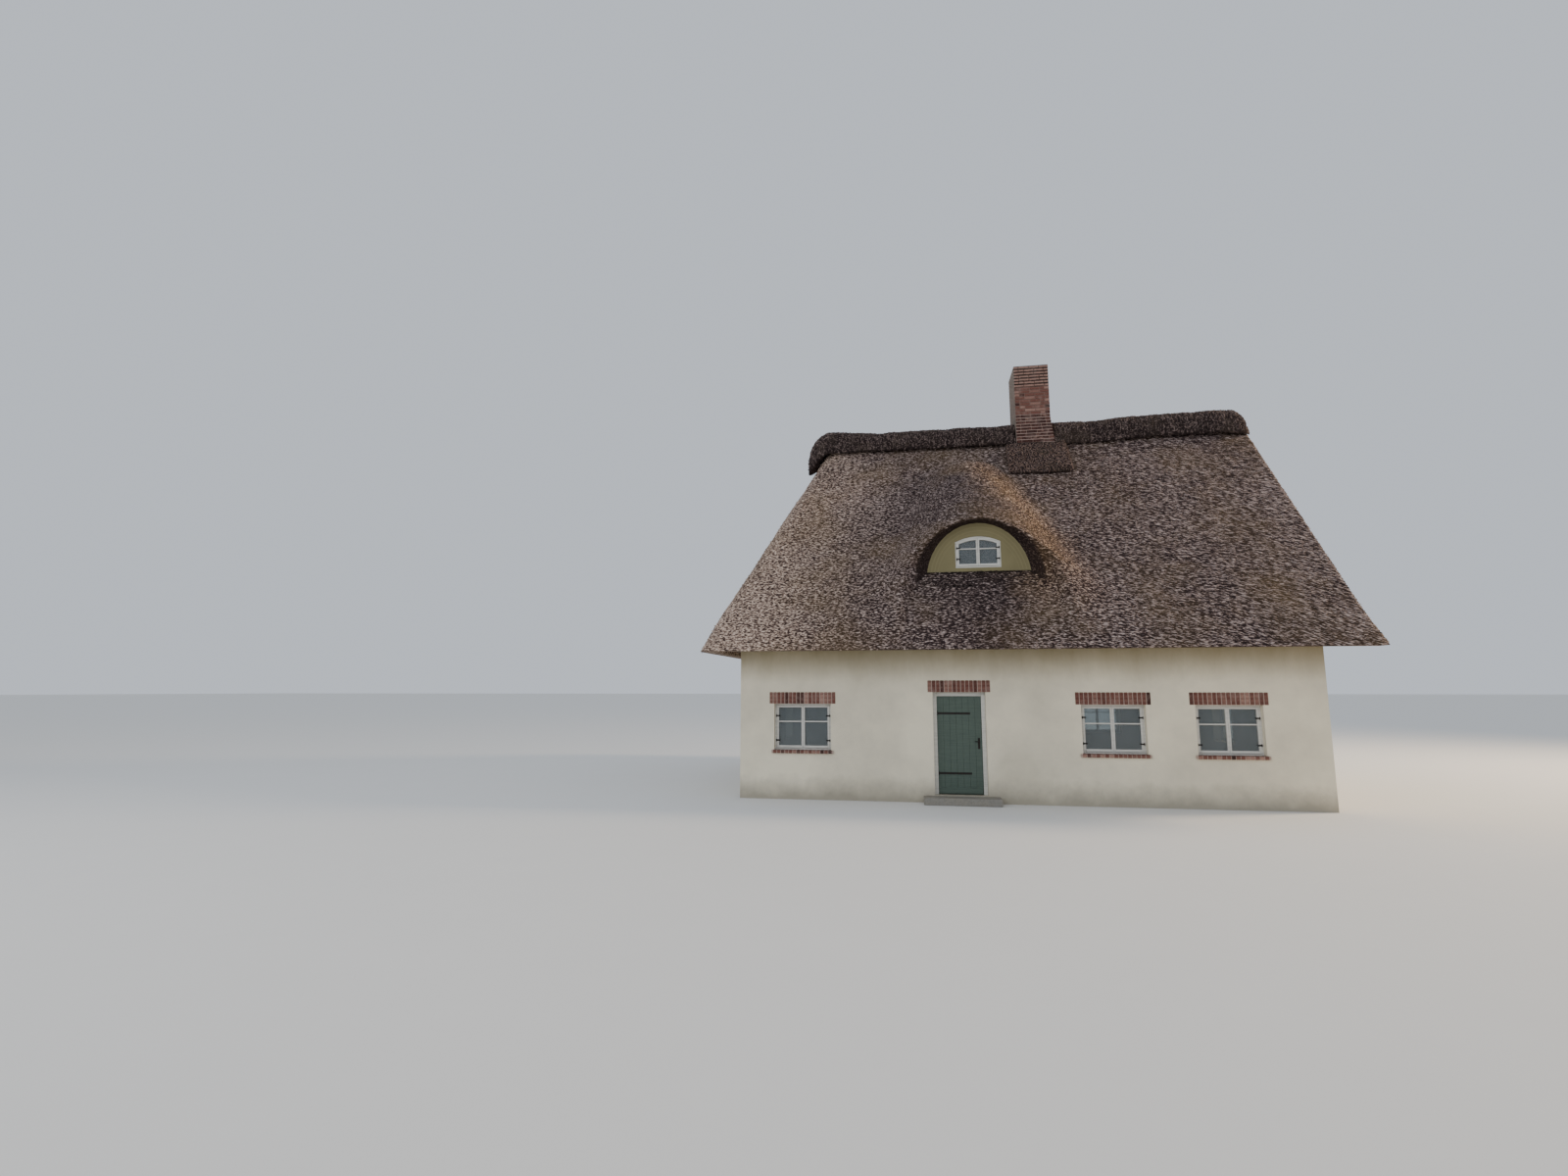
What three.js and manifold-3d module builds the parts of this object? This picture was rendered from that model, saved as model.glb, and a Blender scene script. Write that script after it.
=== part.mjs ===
// A thatched cottage: rendered masonry walls under a reed roof, with a full gable at the right end,
// a hip at the left end, an eyebrow dormer in front, a heather ridge and a brick chimney.
// Millimetres. X runs along the ridge, the front faces -Y, Z is up, and the origin is on the ground
// in the middle of the roof's plan.
import * as THREE from "three";
import Module from "manifold-3d";
import { mergeVertices } from "three/addons/utils/BufferGeometryUtils.js";

const wasm = await Module();
wasm.setup();

// Clearances between pieces that touch
const GAP = 0.3;
const SLOPE_GAP = 0.6; // measured straight up, on the main slopes
const HIP_GAP = 1.2; // measured straight up, on the steep hip

// Roof
const ROOF_HALF_LENGTH = 6400;
const ROOF_HALF_WIDTH = 4870;
const EAVE_Z = 3130;
const APEX_Z = 8920;
const VERGE_X = 6370;
const HIP_RUN = 2310;
const THATCH = 350; // square to the slope
const HIP_ROUND = 900;
const HIP_TOP_HALF_WIDTH = 30;
const VERGE_ROUND = 110;
const BELOW_EAVE = 5150; // rows run past the eave, and the eave cut trims them
const HIP_STEPS = 9;
const HIP_COLUMNS = [0, 0.3, 0.55, 0.7, 0.78, 0.85, 0.9, 0.95, 1]; // shares of its half width
const BEFORE_HIP = 380; // from the mitre, the end of the narrow columns of a long slope
const BEFORE_VERGE = [110, 65, 32, 10, 0];
const PLAIN_COLUMNS = [-3100, 1500];
const PLAIN_ROWS = [900, 2600];

// Eyebrow dormer
const DORMER_X = -520;
const MOUTH_Y = -3750; // front edge of the raised reed
const PANEL_Y = -3500; // outer face of the wall panel
const PANEL_THICK = 100;
const TUNNEL_Y = -3100; // depth to which the arch runs clear of reed
const ROOM_SIDE_Y = -3300; // from here inwards the reed's underside rises with the eyebrow
const EYEBROW_RISE = 1630;
const EYEBROW_HALF_WIDTH = 3000;
const EYEBROW_SOFT = 180;
const EYEBROW_GAIN = 0.4073; // how much faster the main slope falls than the eyebrow's crest
const FLANK_RUN = 1050; // length over which a flank runs out below the mouth
const FLANK_FULL = 1750; // distance from the dormer's middle at which it has that length
const ARCH_SPRING_Z = 4580;
const PANEL_ARCH = { halfWidth: 1100, top: 5830 };
const MOUTH_ARCH = { halfWidth: 1330, top: 5870 }; // the reed is cut back under its lip
const ARCH_FOOT_Z = 3900; // foot of the cut, inside the slope
const CURVE_SEGMENTS = 20;
const EYEBROW_FADE = [500, 1300]; // it dies away between these distances from the ridge
// Columns on each side of the dormer's middle, and rows above and below the mouth
const FROM_DORMER = [0, 280, 560, 840, 1100, 1335, 1400, 1480, 1620, 1780, 1950, 2260, 2600];
const RIGHT_OF_EYEBROW = [2700, 4400];
const ABOVE_PANEL = [-3400, -3150, -2850, -2550, -2250, -1950, -1650, -1350, -1100, -900, -700, -500];
const BELOW_MOUTH = [-4810, -4650, -4480, -4300, -4160, -4040, -3940, -3870, -3820, -3780];

// Walls
const WALL_LEFT = -5600;
const WALL_RIGHT = 5730;
const WALL_HALF_DEPTH = 4070;
const WALL_THICK = 365;
const LONG_WALL_TOP = 3250;
const FLOOR_TOP = 150;
const LOFT_FLOOR_Z = 2450;
const LOFT_FLOOR_THICK = 200;

// Timber
const PLATE = { inner: 3750, outer: 3900, height: 240, left: -5580, right: 6150 };
const RAFTER_WIDTH = 100;
const RAFTER_DEPTH = 280; // measured straight up
const COLLAR_Z = 6200;
const COLLAR_DEPTH = 160;
const RAFTER_X = [-3880, -1950, 620, 3300];
const VERGE_RAFTER_FACES = [5950, 6050];
const SOFFIT_THICK = 25;
const SOFFIT_RIGHT = 6330;
const HEADER_DEPTH = 240;
const HIP_FRAME_THICK = 150; // square to the hip
const HIP_RAFTERS = [0, 1150, 2300]; // from the middle to each side
const HIP_LAST_BAY = 3850; // outer end of the last space between them
const HIP_SILL_RAIL = 220;

// Chimney
const CHIMNEY_X = 1240;
const CHIMNEY_WIDTH = 865;
const CHIMNEY_HALF_DEPTH = 495;
const CHIMNEY_TOP = 10640;
const CHIMNEY_FOOT_SPREAD = 85; // the lower stack is wider on its right side
const CHIMNEY_SPREAD_Z = [8560, 9210];
const FLUE = { halfWidth: 190, halfDepth: 255, bottom: 450 };
const APRON = {
  left: 510,
  right: 2030,
  run: 1320,
  thick: 230,
  rows: [760, 1040, 1230, 1300],
  rowFall: [0, 0, 0, 25, 90, 190], // from the chimney down to the lower edge
  columns: [0, 0.03, 0.09, 0.25, 0.5, 0.75, 0.91, 0.97, 1], // shares of its width
  columnFall: [130, 40, 0, 0, 0, 0, 0, 40, 130],
  embedded: 60, // the blank reaches this far into the reed, which is then cut away
};

// Ridge of heather
const ROLL_END_X = 6400;
const ROLL = {
  halfWidth: 437,
  top: 335, // above the meeting line of the two slopes
  foot: 364, // below that line
  squareness: 2.4, // exponent of the rounded back, where 2 is an ellipse
  underside: 0.57, // share of the reach at which the foot meets the reed
  endRound: 450,
  endScale: 0.62,
  hoodX: -4000, // where the left end begins to turn over the hip
  hoodEnd: -3720, // from here to the left the underside is clear of the rounded hip
  hoodLift: 125,
  hoodShift: 90,
  hoodReach: 575,
  hoodFall: 540,
  steps: 14,
  sag: 85, // the ridge has sunk by this much between the two ranges below
  sagLeft: [-3900, -2600],
  sagRight: [2600, 4200],
};

// Openings: [name, centre along the wall, sill, head, width]
const FRONT_WINDOWS = [
  ["front_window_1", -4270, 1000, 1960, 1200],
  ["front_window_2", 1900, 1000, 1960, 1200],
  ["front_window_3", 4000, 1000, 1960, 1200],
];
const BACK_WINDOWS = [
  ["back_window_1", -3300, 1000, 1960, 1200],
  ["back_window_2", 3400, 1000, 1960, 1200],
];
const LEFT_WINDOWS = [["left_window", 0, 1000, 1960, 1200]];
const GABLE_WINDOWS = [
  ["gable_window_ground", 0, 1000, 1960, 1200],
  ["gable_window_loft", 0, 3700, 4700, 1000],
];
const DORMER_WINDOW = { sill: 4850, head: 5540, width: 960, rise: 120, setback: 20 };
const DOOR = { x: -1050, width: 1050, head: 2200, post: 80, depth: 100, play: 3 };
const DOOR_LEAF = { setback: 25, thick: 50 };
const FRAME_SETBACK = 110;
const FRAME_DEPTH = 70;
const FRAME_BAR = 62;
const BAR = 26;
const MEETING_HALF = 34; // half the width of the two middle stiles together
const CROSS_BAR_HEIGHT = 0.62; // share of the panes' height
const BAR_DEPTH = 34;
const GLASS_THICK = 6;
const HEAD_SEGMENTS = 12;
const STEP = { width: 1500, depth: 380, height: 140 };

// Worked out from the sizes above
const RISE = APEX_Z - EAVE_Z;
const MAIN_SLOPE = RISE / ROOF_HALF_WIDTH;
const HIP_SLOPE = RISE / HIP_RUN;
const RIDGE_LEFT_X = HIP_RUN - ROOF_HALF_LENGTH;
const PLAN_SLOPE = HIP_RUN / ROOF_HALF_WIDTH;
const MAIN_DROP = THATCH * Math.hypot(1, MAIN_SLOPE);
const HIP_DROP = THATCH * Math.hypot(1, HIP_SLOPE);
const INNER_APEX_Z = APEX_Z - MAIN_DROP;
const UNDER_MITRE = (HIP_DROP - MAIN_DROP) / HIP_SLOPE; // the reed's inner mitre, to the right of the outer
const WALL_INNER_DEPTH = WALL_HALF_DEPTH - WALL_THICK;
const GABLE_INNER_X = WALL_RIGHT - WALL_THICK;
const CHIMNEY_LEFT = CHIMNEY_X - CHIMNEY_WIDTH / 2;
const CHIMNEY_RIGHT = CHIMNEY_X + CHIMNEY_WIDTH / 2;
const MITRE_SKEW = Math.hypot(1, PLAN_SLOPE) * 1.5; // a joint's width along X, with a little to spare
const FAR = 20000; // reach of a cutting block

const MATERIALS = {
  render: { color: "#d9d2bf", roughness: 0.9, metalness: 0 },
  reed: { color: "#6b5d4e", roughness: 1, metalness: 0 },
  heather: { color: "#3d352e", roughness: 1, metalness: 0 },
  brick: { color: "#7c3f33", roughness: 0.9, metalness: 0 },
  panel: { color: "#b5a888", roughness: 0.8, metalness: 0 },
  timber: { color: "#7a5f43", roughness: 0.8, metalness: 0 },
  whitePaint: { color: "#e8e6df", roughness: 0.5, metalness: 0 },
  greenPaint: { color: "#5d6a5a", roughness: 0.5, metalness: 0 },
  glass: { color: "#9fb0b8", roughness: 0.05, metalness: 0 },
  stone: { color: "#8f8b83", roughness: 0.9, metalness: 0 },
};

const cottage = new THREE.Group();

// Solids and meshes

function solid(geometry) {
  const bare = geometry.clone();
  bare.deleteAttribute("normal");
  bare.deleteAttribute("uv");
  const merged = mergeVertices(bare, 1e-3);
  return new wasm.Manifold(
    new wasm.Mesh({
      numProp: 3,
      vertProperties: merged.attributes.position.array,
      triVerts: new Uint32Array(merged.index.array),
    }),
  );
}

function geometryOf(body) {
  const mesh = body.getMesh();
  const geometry = new THREE.BufferGeometry();
  geometry.setAttribute("position", new THREE.BufferAttribute(mesh.vertProperties, 3));
  geometry.setIndex(new THREE.BufferAttribute(mesh.triVerts, 1));
  geometry.computeVertexNormals();
  return geometry;
}

function add(name, material, body) {
  const mesh = new THREE.Mesh(geometryOf(body), new THREE.MeshStandardMaterial(MATERIALS[material]));
  mesh.name = name;
  cottage.add(mesh);
}

function block([x0, x1], [y0, y1], [z0, z1]) {
  const geometry = new THREE.BoxGeometry(x1 - x0, y1 - y0, z1 - z0);
  geometry.translate((x0 + x1) / 2, (y0 + y1) / 2, (z0 + z1) / 2);
  return solid(geometry);
}

function extrude(shape, depth) {
  return new THREE.ExtrudeGeometry(shape, { depth, bevelEnabled: false, curveSegments: CURVE_SEGMENTS });
}

// An outline in X and Z, run along Y
function alongY(shape, [y0, y1]) {
  const geometry = extrude(shape, y1 - y0);
  geometry.rotateX(Math.PI / 2);
  geometry.translate(0, y1, 0);
  return solid(geometry);
}

// An outline in Y and Z, run along X
function alongX(shape, [x0, x1]) {
  const geometry = extrude(shape, x1 - x0);
  const turn = new THREE.Matrix4().makeBasis(
    new THREE.Vector3(0, 1, 0),
    new THREE.Vector3(0, 0, 1),
    new THREE.Vector3(1, 0, 0),
  );
  geometry.applyMatrix4(turn);
  geometry.translate(x0, 0, 0);
  return solid(geometry);
}

function outline(points) {
  return new THREE.Shape(points.map(([a, b]) => new THREE.Vector2(a, b)));
}

// A copy moved straight up, used as a cutter that leaves a gap
function lifted(body, rise) {
  const geometry = geometryOf(body);
  geometry.translate(0, 0, rise);
  return solid(geometry);
}

// A box grid whose points are put in place by a function of column, row and side
function warpedGrid(columns, rows, place) {
  const geometry = new THREE.BoxGeometry(1, 1, 1, columns, rows, 1);
  const points = geometry.attributes.position;
  for (let k = 0; k < points.count; k++) {
    const i = Math.round((points.getX(k) + 0.5) * columns);
    const j = Math.round((points.getY(k) + 0.5) * rows);
    points.setXYZ(k, ...place(i, j, points.getZ(k) > 0));
  }
  return solid(geometry);
}

// Roof surfaces

const mainZ = (y) => APEX_Z - Math.abs(y) * MAIN_SLOPE;
const hipZ = (x) => EAVE_Z + (x + ROOF_HALF_LENGTH) * HIP_SLOPE;
const mitreX = (y) => RIDGE_LEFT_X - Math.abs(y) * PLAN_SLOPE;

// The lower of two heights, blended where they are close
function softMin(a, b, reach) {
  const near = Math.max(reach - Math.abs(a - b), 0) / reach;
  return Math.min(a, b) - (near * near * reach) / 4;
}

// A height above nothing, blended where it leaves zero
function softRise(height, reach) {
  if (height >= reach) return height;
  if (height <= -reach) return 0;
  return (height + reach) ** 2 / (4 * reach);
}

// How far the eyebrow lifts the reed over the main slope
function eyebrow(x, y) {
  if (y >= 0) return 0;
  const across = Math.min(Math.abs(x - DORMER_X) / EYEBROW_HALF_WIDTH, 1);
  const arch = (1 + Math.cos(Math.PI * across)) / 2;
  const back = Math.max(y - MOUTH_Y, 0) * EYEBROW_GAIN;
  const fade = THREE.MathUtils.smoothstep(-y, ...EYEBROW_FADE);
  return fade * softRise(EYEBROW_RISE * arch - EYEBROW_SOFT - back, EYEBROW_SOFT);
}

// The eyebrow's two flanks, which run out on the main slope below the mouth
function flank(x, y) {
  const aside = Math.abs(x - DORMER_X);
  const length = FLANK_RUN * THREE.MathUtils.smoothstep(aside, MOUTH_ARCH.halfWidth, FLANK_FULL);
  const below = Math.max(MOUTH_Y - y, 0);
  if (below > 0 && length === 0) return 0;
  return eyebrow(x, Math.max(y, MOUTH_Y)) * (1 - THREE.MathUtils.smoothstep(below, 0, length + 1));
}

function vergeDrop(x) {
  const inside = Math.min(Math.max(VERGE_X - x, 0), VERGE_ROUND);
  const fall = VERGE_ROUND - Math.sqrt(VERGE_ROUND ** 2 - (VERGE_ROUND - inside) ** 2);
  return fall * Math.hypot(1, MAIN_SLOPE);
}

const slopeTop = (x, y) => softMin(mainZ(y), hipZ(x), HIP_ROUND) - vergeDrop(x);
const reedTop = (x, y) => slopeTop(x, y) + eyebrow(x, y);
const slopeUnder = (x, y) => Math.min(mainZ(y) - MAIN_DROP, hipZ(x) - HIP_DROP);

// Columns of a long slope: close together at the hip, over the eyebrow and at the verge. A joint is
// the distance that a slope keeps from its mitre and from the ridge line.
function slopeColumns(y, middle, joint) {
  const mitre = mitreX(y);
  const nearHip = [joint * MITRE_SKEW, 70, UNDER_MITRE, 260, BEFORE_HIP].map((d) => mitre + d);
  const bridge = [0.25, 0.5, 0.75].map((t) => THREE.MathUtils.lerp(mitre + BEFORE_HIP, middle[0], t));
  const nearVerge = BEFORE_VERGE.map((d) => VERGE_X - d);
  return [...nearHip, ...bridge, ...middle, ...nearVerge];
}

// A list of distances from a middle line, taken to both sides of it
const bothWays = (distances) => [...distances.slice(1).map((d) => -d).reverse(), ...distances];
const EYEBROW_COLUMNS = [...bothWays(FROM_DORMER).map((d) => DORMER_X + d), ...RIGHT_OF_EYEBROW];

function slopeSheet(rows, middle, joint, top, under) {
  const columns = slopeColumns(0, middle, joint).length - 1;
  return warpedGrid(columns, rows.length - 1, (i, j, isTop) => {
    const y = rows[j];
    const x = slopeColumns(y, middle, joint)[i];
    return [x, y, isTop ? top(x, y) : under(x, y)];
  });
}

function aboveEave(body) {
  return body.intersect(block([-FAR, FAR], [-FAR, FAR], [EAVE_Z, FAR]));
}

function chimneyHole() {
  const reach = CHIMNEY_HALF_DEPTH + SLOPE_GAP;
  const right = CHIMNEY_RIGHT + CHIMNEY_FOOT_SPREAD + SLOPE_GAP;
  return block([CHIMNEY_LEFT - SLOPE_GAP, right], [-reach, reach], [0, FAR]);
}

// A point of a half ellipse, from its left foot over the top to its right foot
function archPoint({ halfWidth, top }, inset, step) {
  const angle = (Math.PI * step) / CURVE_SEGMENTS;
  const x = DORMER_X - (halfWidth - inset) * Math.cos(angle);
  const z = ARCH_SPRING_Z + (top - inset - ARCH_SPRING_Z) * Math.sin(angle);
  return [x, z];
}

function panelShape(footZ) {
  const half = PANEL_ARCH.halfWidth - GAP;
  const points = [[DORMER_X + half, footZ], [DORMER_X - half, footZ]];
  for (let step = 0; step <= CURVE_SEGMENTS; step++) {
    points.push(archPoint(PANEL_ARCH, GAP, step));
  }
  return outline(points);
}

// A half-elliptic tunnel that narrows from the mouth to the panel
function archTunnel() {
  const stations = [
    [-BELOW_EAVE, MOUTH_ARCH],
    [MOUTH_Y, MOUTH_ARCH],
    [PANEL_Y, PANEL_ARCH],
    [TUNNEL_Y, PANEL_ARCH],
  ];
  return warpedGrid(CURVE_SEGMENTS, stations.length - 1, (i, j, isTop) => {
    const [y, arch] = stations[j];
    const [x, z] = archPoint(arch, 0, i);
    return [x, y, isTop ? z : ARCH_FOOT_Z];
  });
}

// The space under the arch, down to the plain slope in front of the panel
function archOpening() {
  const plainSlope = outline([
    [-BELOW_EAVE, 0],
    [PANEL_Y, 0],
    [PANEL_Y, mainZ(PANEL_Y)],
    [-BELOW_EAVE, mainZ(BELOW_EAVE)],
  ]);
  return archTunnel().subtract(alongX(plainSlope, [-FAR, FAR]));
}

function frontReed(joint) {
  const upperRows = [MOUTH_Y, PANEL_Y, ...ABOVE_PANEL, -joint];
  const lowerRows = [-BELOW_EAVE, ...BELOW_MOUTH, MOUTH_Y, PANEL_Y];
  const under = (x, y) => slopeUnder(x, y) + (y > ROOM_SIDE_Y ? eyebrow(x, y) : 0);
  const runOut = (x, y) => slopeTop(x, y) + flank(x, y);
  const upper = slopeSheet(upperRows, EYEBROW_COLUMNS, joint, reedTop, under);
  const lower = slopeSheet(lowerRows, EYEBROW_COLUMNS, joint, runOut, slopeUnder);
  return aboveEave(upper.add(lower).subtract(archOpening()));
}

function backReed(joint) {
  const rows = [joint, ...PLAIN_ROWS, BELOW_EAVE];
  return aboveEave(slopeSheet(rows, PLAIN_COLUMNS, joint, reedTop, slopeUnder));
}

function hipReed(joint) {
  const across = bothWays(HIP_COLUMNS);
  const topX = mitreX(HIP_TOP_HALF_WIDTH);
  const bottomX = mitreX(BELOW_EAVE);
  const body = warpedGrid(HIP_STEPS, across.length - 1, (i, j, isTop) => {
    const x = THREE.MathUtils.lerp(bottomX, topX, i / HIP_STEPS);
    const y = across[j] * ((RIDGE_LEFT_X - x - joint * MITRE_SKEW) / PLAN_SLOPE);
    return [x, y, isTop ? reedTop(x, y) : slopeUnder(x, y)];
  });
  return aboveEave(body);
}

// Heather ridge

// Share of the roll's reach and of its height at an angle from its front foot over to its back foot
function rollCurve(angle) {
  const power = 2 / ROLL.squareness;
  const out = Math.cos(angle);
  return [Math.sign(out) * Math.abs(out) ** power, Math.max(Math.sin(angle), 0) ** power];
}

// The rounded back carried through a list of stations, over an underside that lies on the reed.
// A station's turn swings its two halves round to the left, which closes the roll over the hip.
function roll(stations) {
  return warpedGrid(stations.length - 1, ROLL.steps, (i, j, isTop) => {
    const { x, turn, reach, foot, top, lift } = stations[i];
    const [out, up] = rollCurve((Math.PI * j) / ROLL.steps);
    const radius = Math.abs(out) * reach * (isTop ? 1 : ROLL.underside);
    const px = x - radius * Math.sin(turn);
    const py = -Math.sign(out) * radius * Math.cos(turn);
    return [px, py, isTop ? foot + (top - foot) * up : ridgeTop(px, py) + lift];
  });
}

const ridgeTop = (x, y) => softMin(mainZ(y), hipZ(x), HIP_ROUND);
const ROLL_TOP_Z = APEX_Z + ROLL.top;
const ROLL_FOOT_Z = APEX_Z - ROLL.foot;

function straightStation(x, scale) {
  const { smoothstep } = THREE.MathUtils;
  const sunk = ROLL.sag * smoothstep(x, ...ROLL.sagLeft) * (1 - smoothstep(x, ...ROLL.sagRight));
  const reach = ROLL.halfWidth * (0.6 + 0.4 * scale);
  const foot = ROLL_FOOT_Z - (x > CHIMNEY_X ? sunk : 0);
  const top = foot + (ROLL_TOP_Z - sunk - foot) * scale;
  return { x, turn: 0, reach, foot, top, lift: SLOPE_GAP };
}

function ridgeRollRight() {
  const start = CHIMNEY_RIGHT + CHIMNEY_FOOT_SPREAD + GAP;
  const straight = [start, 2700, 3100, 3500, 4100, 5300].map((x) => straightStation(x, 1));
  const ending = [450, 330, 220, 130, 60, 0].map((d) => {
    const scale = Math.sqrt(1 - (1 - d / ROLL.endRound) ** 2);
    return straightStation(ROLL_END_X - d, Math.max(scale, ROLL.endScale));
  });
  return roll([...straight, ...ending]);
}

function hoodStation(degrees) {
  const turn = THREE.MathUtils.degToRad(degrees);
  const hipward = Math.sin(turn) ** 2;
  return {
    x: ROLL.hoodX - (ROLL.hoodShift * degrees) / 90,
    turn,
    reach: THREE.MathUtils.lerp(ROLL.halfWidth, ROLL.hoodReach, hipward),
    foot: ROLL_FOOT_Z - ROLL.hoodFall * hipward,
    top: ROLL_TOP_Z,
    lift: ROLL.hoodLift,
  };
}

function ridgeRollLeft() {
  const hood = [87, 76, 64, 52, 40, 27, 13, 0].map(hoodStation);
  const straight = [ROLL.hoodEnd, -3400, -3000, -2600, -1500, -300, CHIMNEY_LEFT - GAP];
  return roll([...hood, ...straight.map((x) => straightStation(x, 1))]);
}

// Heather aprons in front of and behind the chimney, laid on the reed
function apron(side, thatch) {
  const rows = [CHIMNEY_HALF_DEPTH + SLOPE_GAP, ...APRON.rows, APRON.run];
  const { columns, columnFall, rowFall } = APRON;
  const last = rows.length - 1;
  const blank = warpedGrid(columns.length - 1, last, (i, j, isTop) => {
    const k = side < 0 ? last - j : j;
    const x = THREE.MathUtils.lerp(APRON.left, APRON.right, columns[i]);
    const y = side * rows[k];
    const rise = isTop ? APRON.thick - Math.max(rowFall[k], columnFall[i]) : -APRON.embedded;
    return [x, y, reedTop(x, y) + rise];
  });
  return blank.subtract(thatch);
}

function chimneyStack() {
  const [spreadLow, spreadHigh] = CHIMNEY_SPREAD_Z;
  const foot = FLOOR_TOP + GAP;
  const wide = CHIMNEY_RIGHT + CHIMNEY_FOOT_SPREAD;
  const front = outline([
    [CHIMNEY_LEFT, foot],
    [wide, foot],
    [wide, spreadLow],
    [CHIMNEY_RIGHT, spreadHigh],
    [CHIMNEY_RIGHT, CHIMNEY_TOP],
    [CHIMNEY_LEFT, CHIMNEY_TOP],
  ]);
  const flue = block(
    [CHIMNEY_X - FLUE.halfWidth, CHIMNEY_X + FLUE.halfWidth],
    [-FLUE.halfDepth, FLUE.halfDepth],
    [FLUE.bottom, FAR],
  );
  return alongY(front, [-CHIMNEY_HALF_DEPTH, CHIMNEY_HALF_DEPTH]).subtract(flue);
}

// Timber

function plateBlock(side, grow) {
  const ends = [PLATE.inner, PLATE.outer].map((y) => side * y).sort((a, b) => a - b);
  const low = LONG_WALL_TOP + GAP;
  return block(
    [PLATE.left - grow, PLATE.right + grow],
    [ends[0] - grow, ends[1] + grow],
    [low - grow, low + PLATE.height + grow],
  );
}

const innerSlopeZ = (y) => INNER_APEX_Z - SLOPE_GAP - Math.abs(y) * MAIN_SLOPE;
const innerSlopeY = (z) => (INNER_APEX_Z - SLOPE_GAP - z) / MAIN_SLOPE;
const RAFTER_FOOT_Z = EAVE_Z + SOFFIT_THICK + GAP;

function rafterPair(centreX) {
  const footOuter = innerSlopeY(RAFTER_FOOT_Z);
  const footInner = innerSlopeY(RAFTER_FOOT_Z + RAFTER_DEPTH);
  const collarLow = innerSlopeY(COLLAR_Z + RAFTER_DEPTH);
  const collarHigh = innerSlopeY(COLLAR_Z + COLLAR_DEPTH + RAFTER_DEPTH);
  const shape = outline([
    [-footOuter, RAFTER_FOOT_Z],
    [-footInner, RAFTER_FOOT_Z],
    [-collarLow, COLLAR_Z],
    [collarLow, COLLAR_Z],
    [footInner, RAFTER_FOOT_Z],
    [footOuter, RAFTER_FOOT_Z],
    [0, innerSlopeZ(0)],
  ]);
  const above = COLLAR_Z + COLLAR_DEPTH;
  shape.holes.push(
    outline([
      [-collarHigh, above],
      [0, innerSlopeZ(0) - RAFTER_DEPTH],
      [collarHigh, above],
    ]),
  );
  const half = RAFTER_WIDTH / 2;
  const pair = alongX(shape, [centreX - half, centreX + half]);
  return pair.subtract(plateBlock(-1, GAP)).subtract(plateBlock(1, GAP));
}

// The three pieces that carry the verge outside the gable: two rafters and a collar between them
function vergeRafter(side) {
  const shape = [
    [innerSlopeY(RAFTER_FOOT_Z), RAFTER_FOOT_Z],
    [innerSlopeY(RAFTER_FOOT_Z + RAFTER_DEPTH), RAFTER_FOOT_Z],
    [GAP / 2, innerSlopeZ(GAP / 2) - RAFTER_DEPTH],
    [GAP / 2, innerSlopeZ(GAP / 2)],
  ];
  const rafter = alongX(outline(shape.map(([y, z]) => [side * y, z])), VERGE_RAFTER_FACES);
  return rafter.subtract(plateBlock(side, GAP));
}

function vergeCollar() {
  const low = innerSlopeY(COLLAR_Z + RAFTER_DEPTH) - GAP;
  const high = innerSlopeY(COLLAR_Z + COLLAR_DEPTH + RAFTER_DEPTH) - GAP;
  const shape = outline([
    [-low, COLLAR_Z],
    [low, COLLAR_Z],
    [high, COLLAR_Z + COLLAR_DEPTH],
    [-high, COLLAR_Z + COLLAR_DEPTH],
  ]);
  return alongX(shape, VERGE_RAFTER_FACES);
}

// Rafters of the hip, framed together in one plane under the reed
const HIP_FRAME_ACROSS = HIP_FRAME_THICK / Math.sin(Math.atan(HIP_SLOPE));
const innerHipX = (z) => -ROOF_HALF_LENGTH + (z + HIP_DROP + HIP_GAP - EAVE_Z) / HIP_SLOPE;

function hipFrame() {
  const low = RAFTER_FOOT_Z;
  const rafterFace = RAFTER_X[0] - RAFTER_WIDTH / 2 - GAP;
  const high = hipZ(rafterFace - HIP_FRAME_ACROSS) - HIP_DROP - HIP_GAP;
  const layer = outline([
    [innerHipX(low), low],
    [innerHipX(low) + HIP_FRAME_ACROSS, low],
    [innerHipX(high) + HIP_FRAME_ACROSS, high],
    [innerHipX(high), high],
  ]);
  const under = outline([
    [-innerSlopeY(low), low],
    [innerSlopeY(low), low],
    [innerSlopeY(high), high],
    [-innerSlopeY(high), high],
  ]);
  const across = innerSlopeY(low);
  let frame = alongY(layer, [-across, across]).intersect(alongX(under, [-FAR, 0]));
  HIP_RAFTERS.forEach((rafter, k) => {
    const near = rafter + RAFTER_WIDTH / 2;
    const next = Math.min(...HIP_RAFTERS.slice(k + 1).map((y) => y - RAFTER_WIDTH / 2), HIP_LAST_BAY);
    for (const side of [-1, 1]) {
      frame = frame.subtract(alongX(pocket(side, near, next, low + HIP_SILL_RAIL), [-FAR, 0]));
    }
  });
  for (const side of [-1, 1]) {
    frame = frame.subtract(plateBlock(side, GAP));
  }
  return frame;
}

function pocket(side, near, far, floor) {
  const top = (y) => Math.max(innerSlopeZ(y) - RAFTER_DEPTH, floor + 20);
  const points = [
    [near, floor],
    [far, floor],
    [far, top(far)],
    [near, top(near)],
  ];
  return outline(points.map(([y, z]) => [side * y, z]));
}

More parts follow.
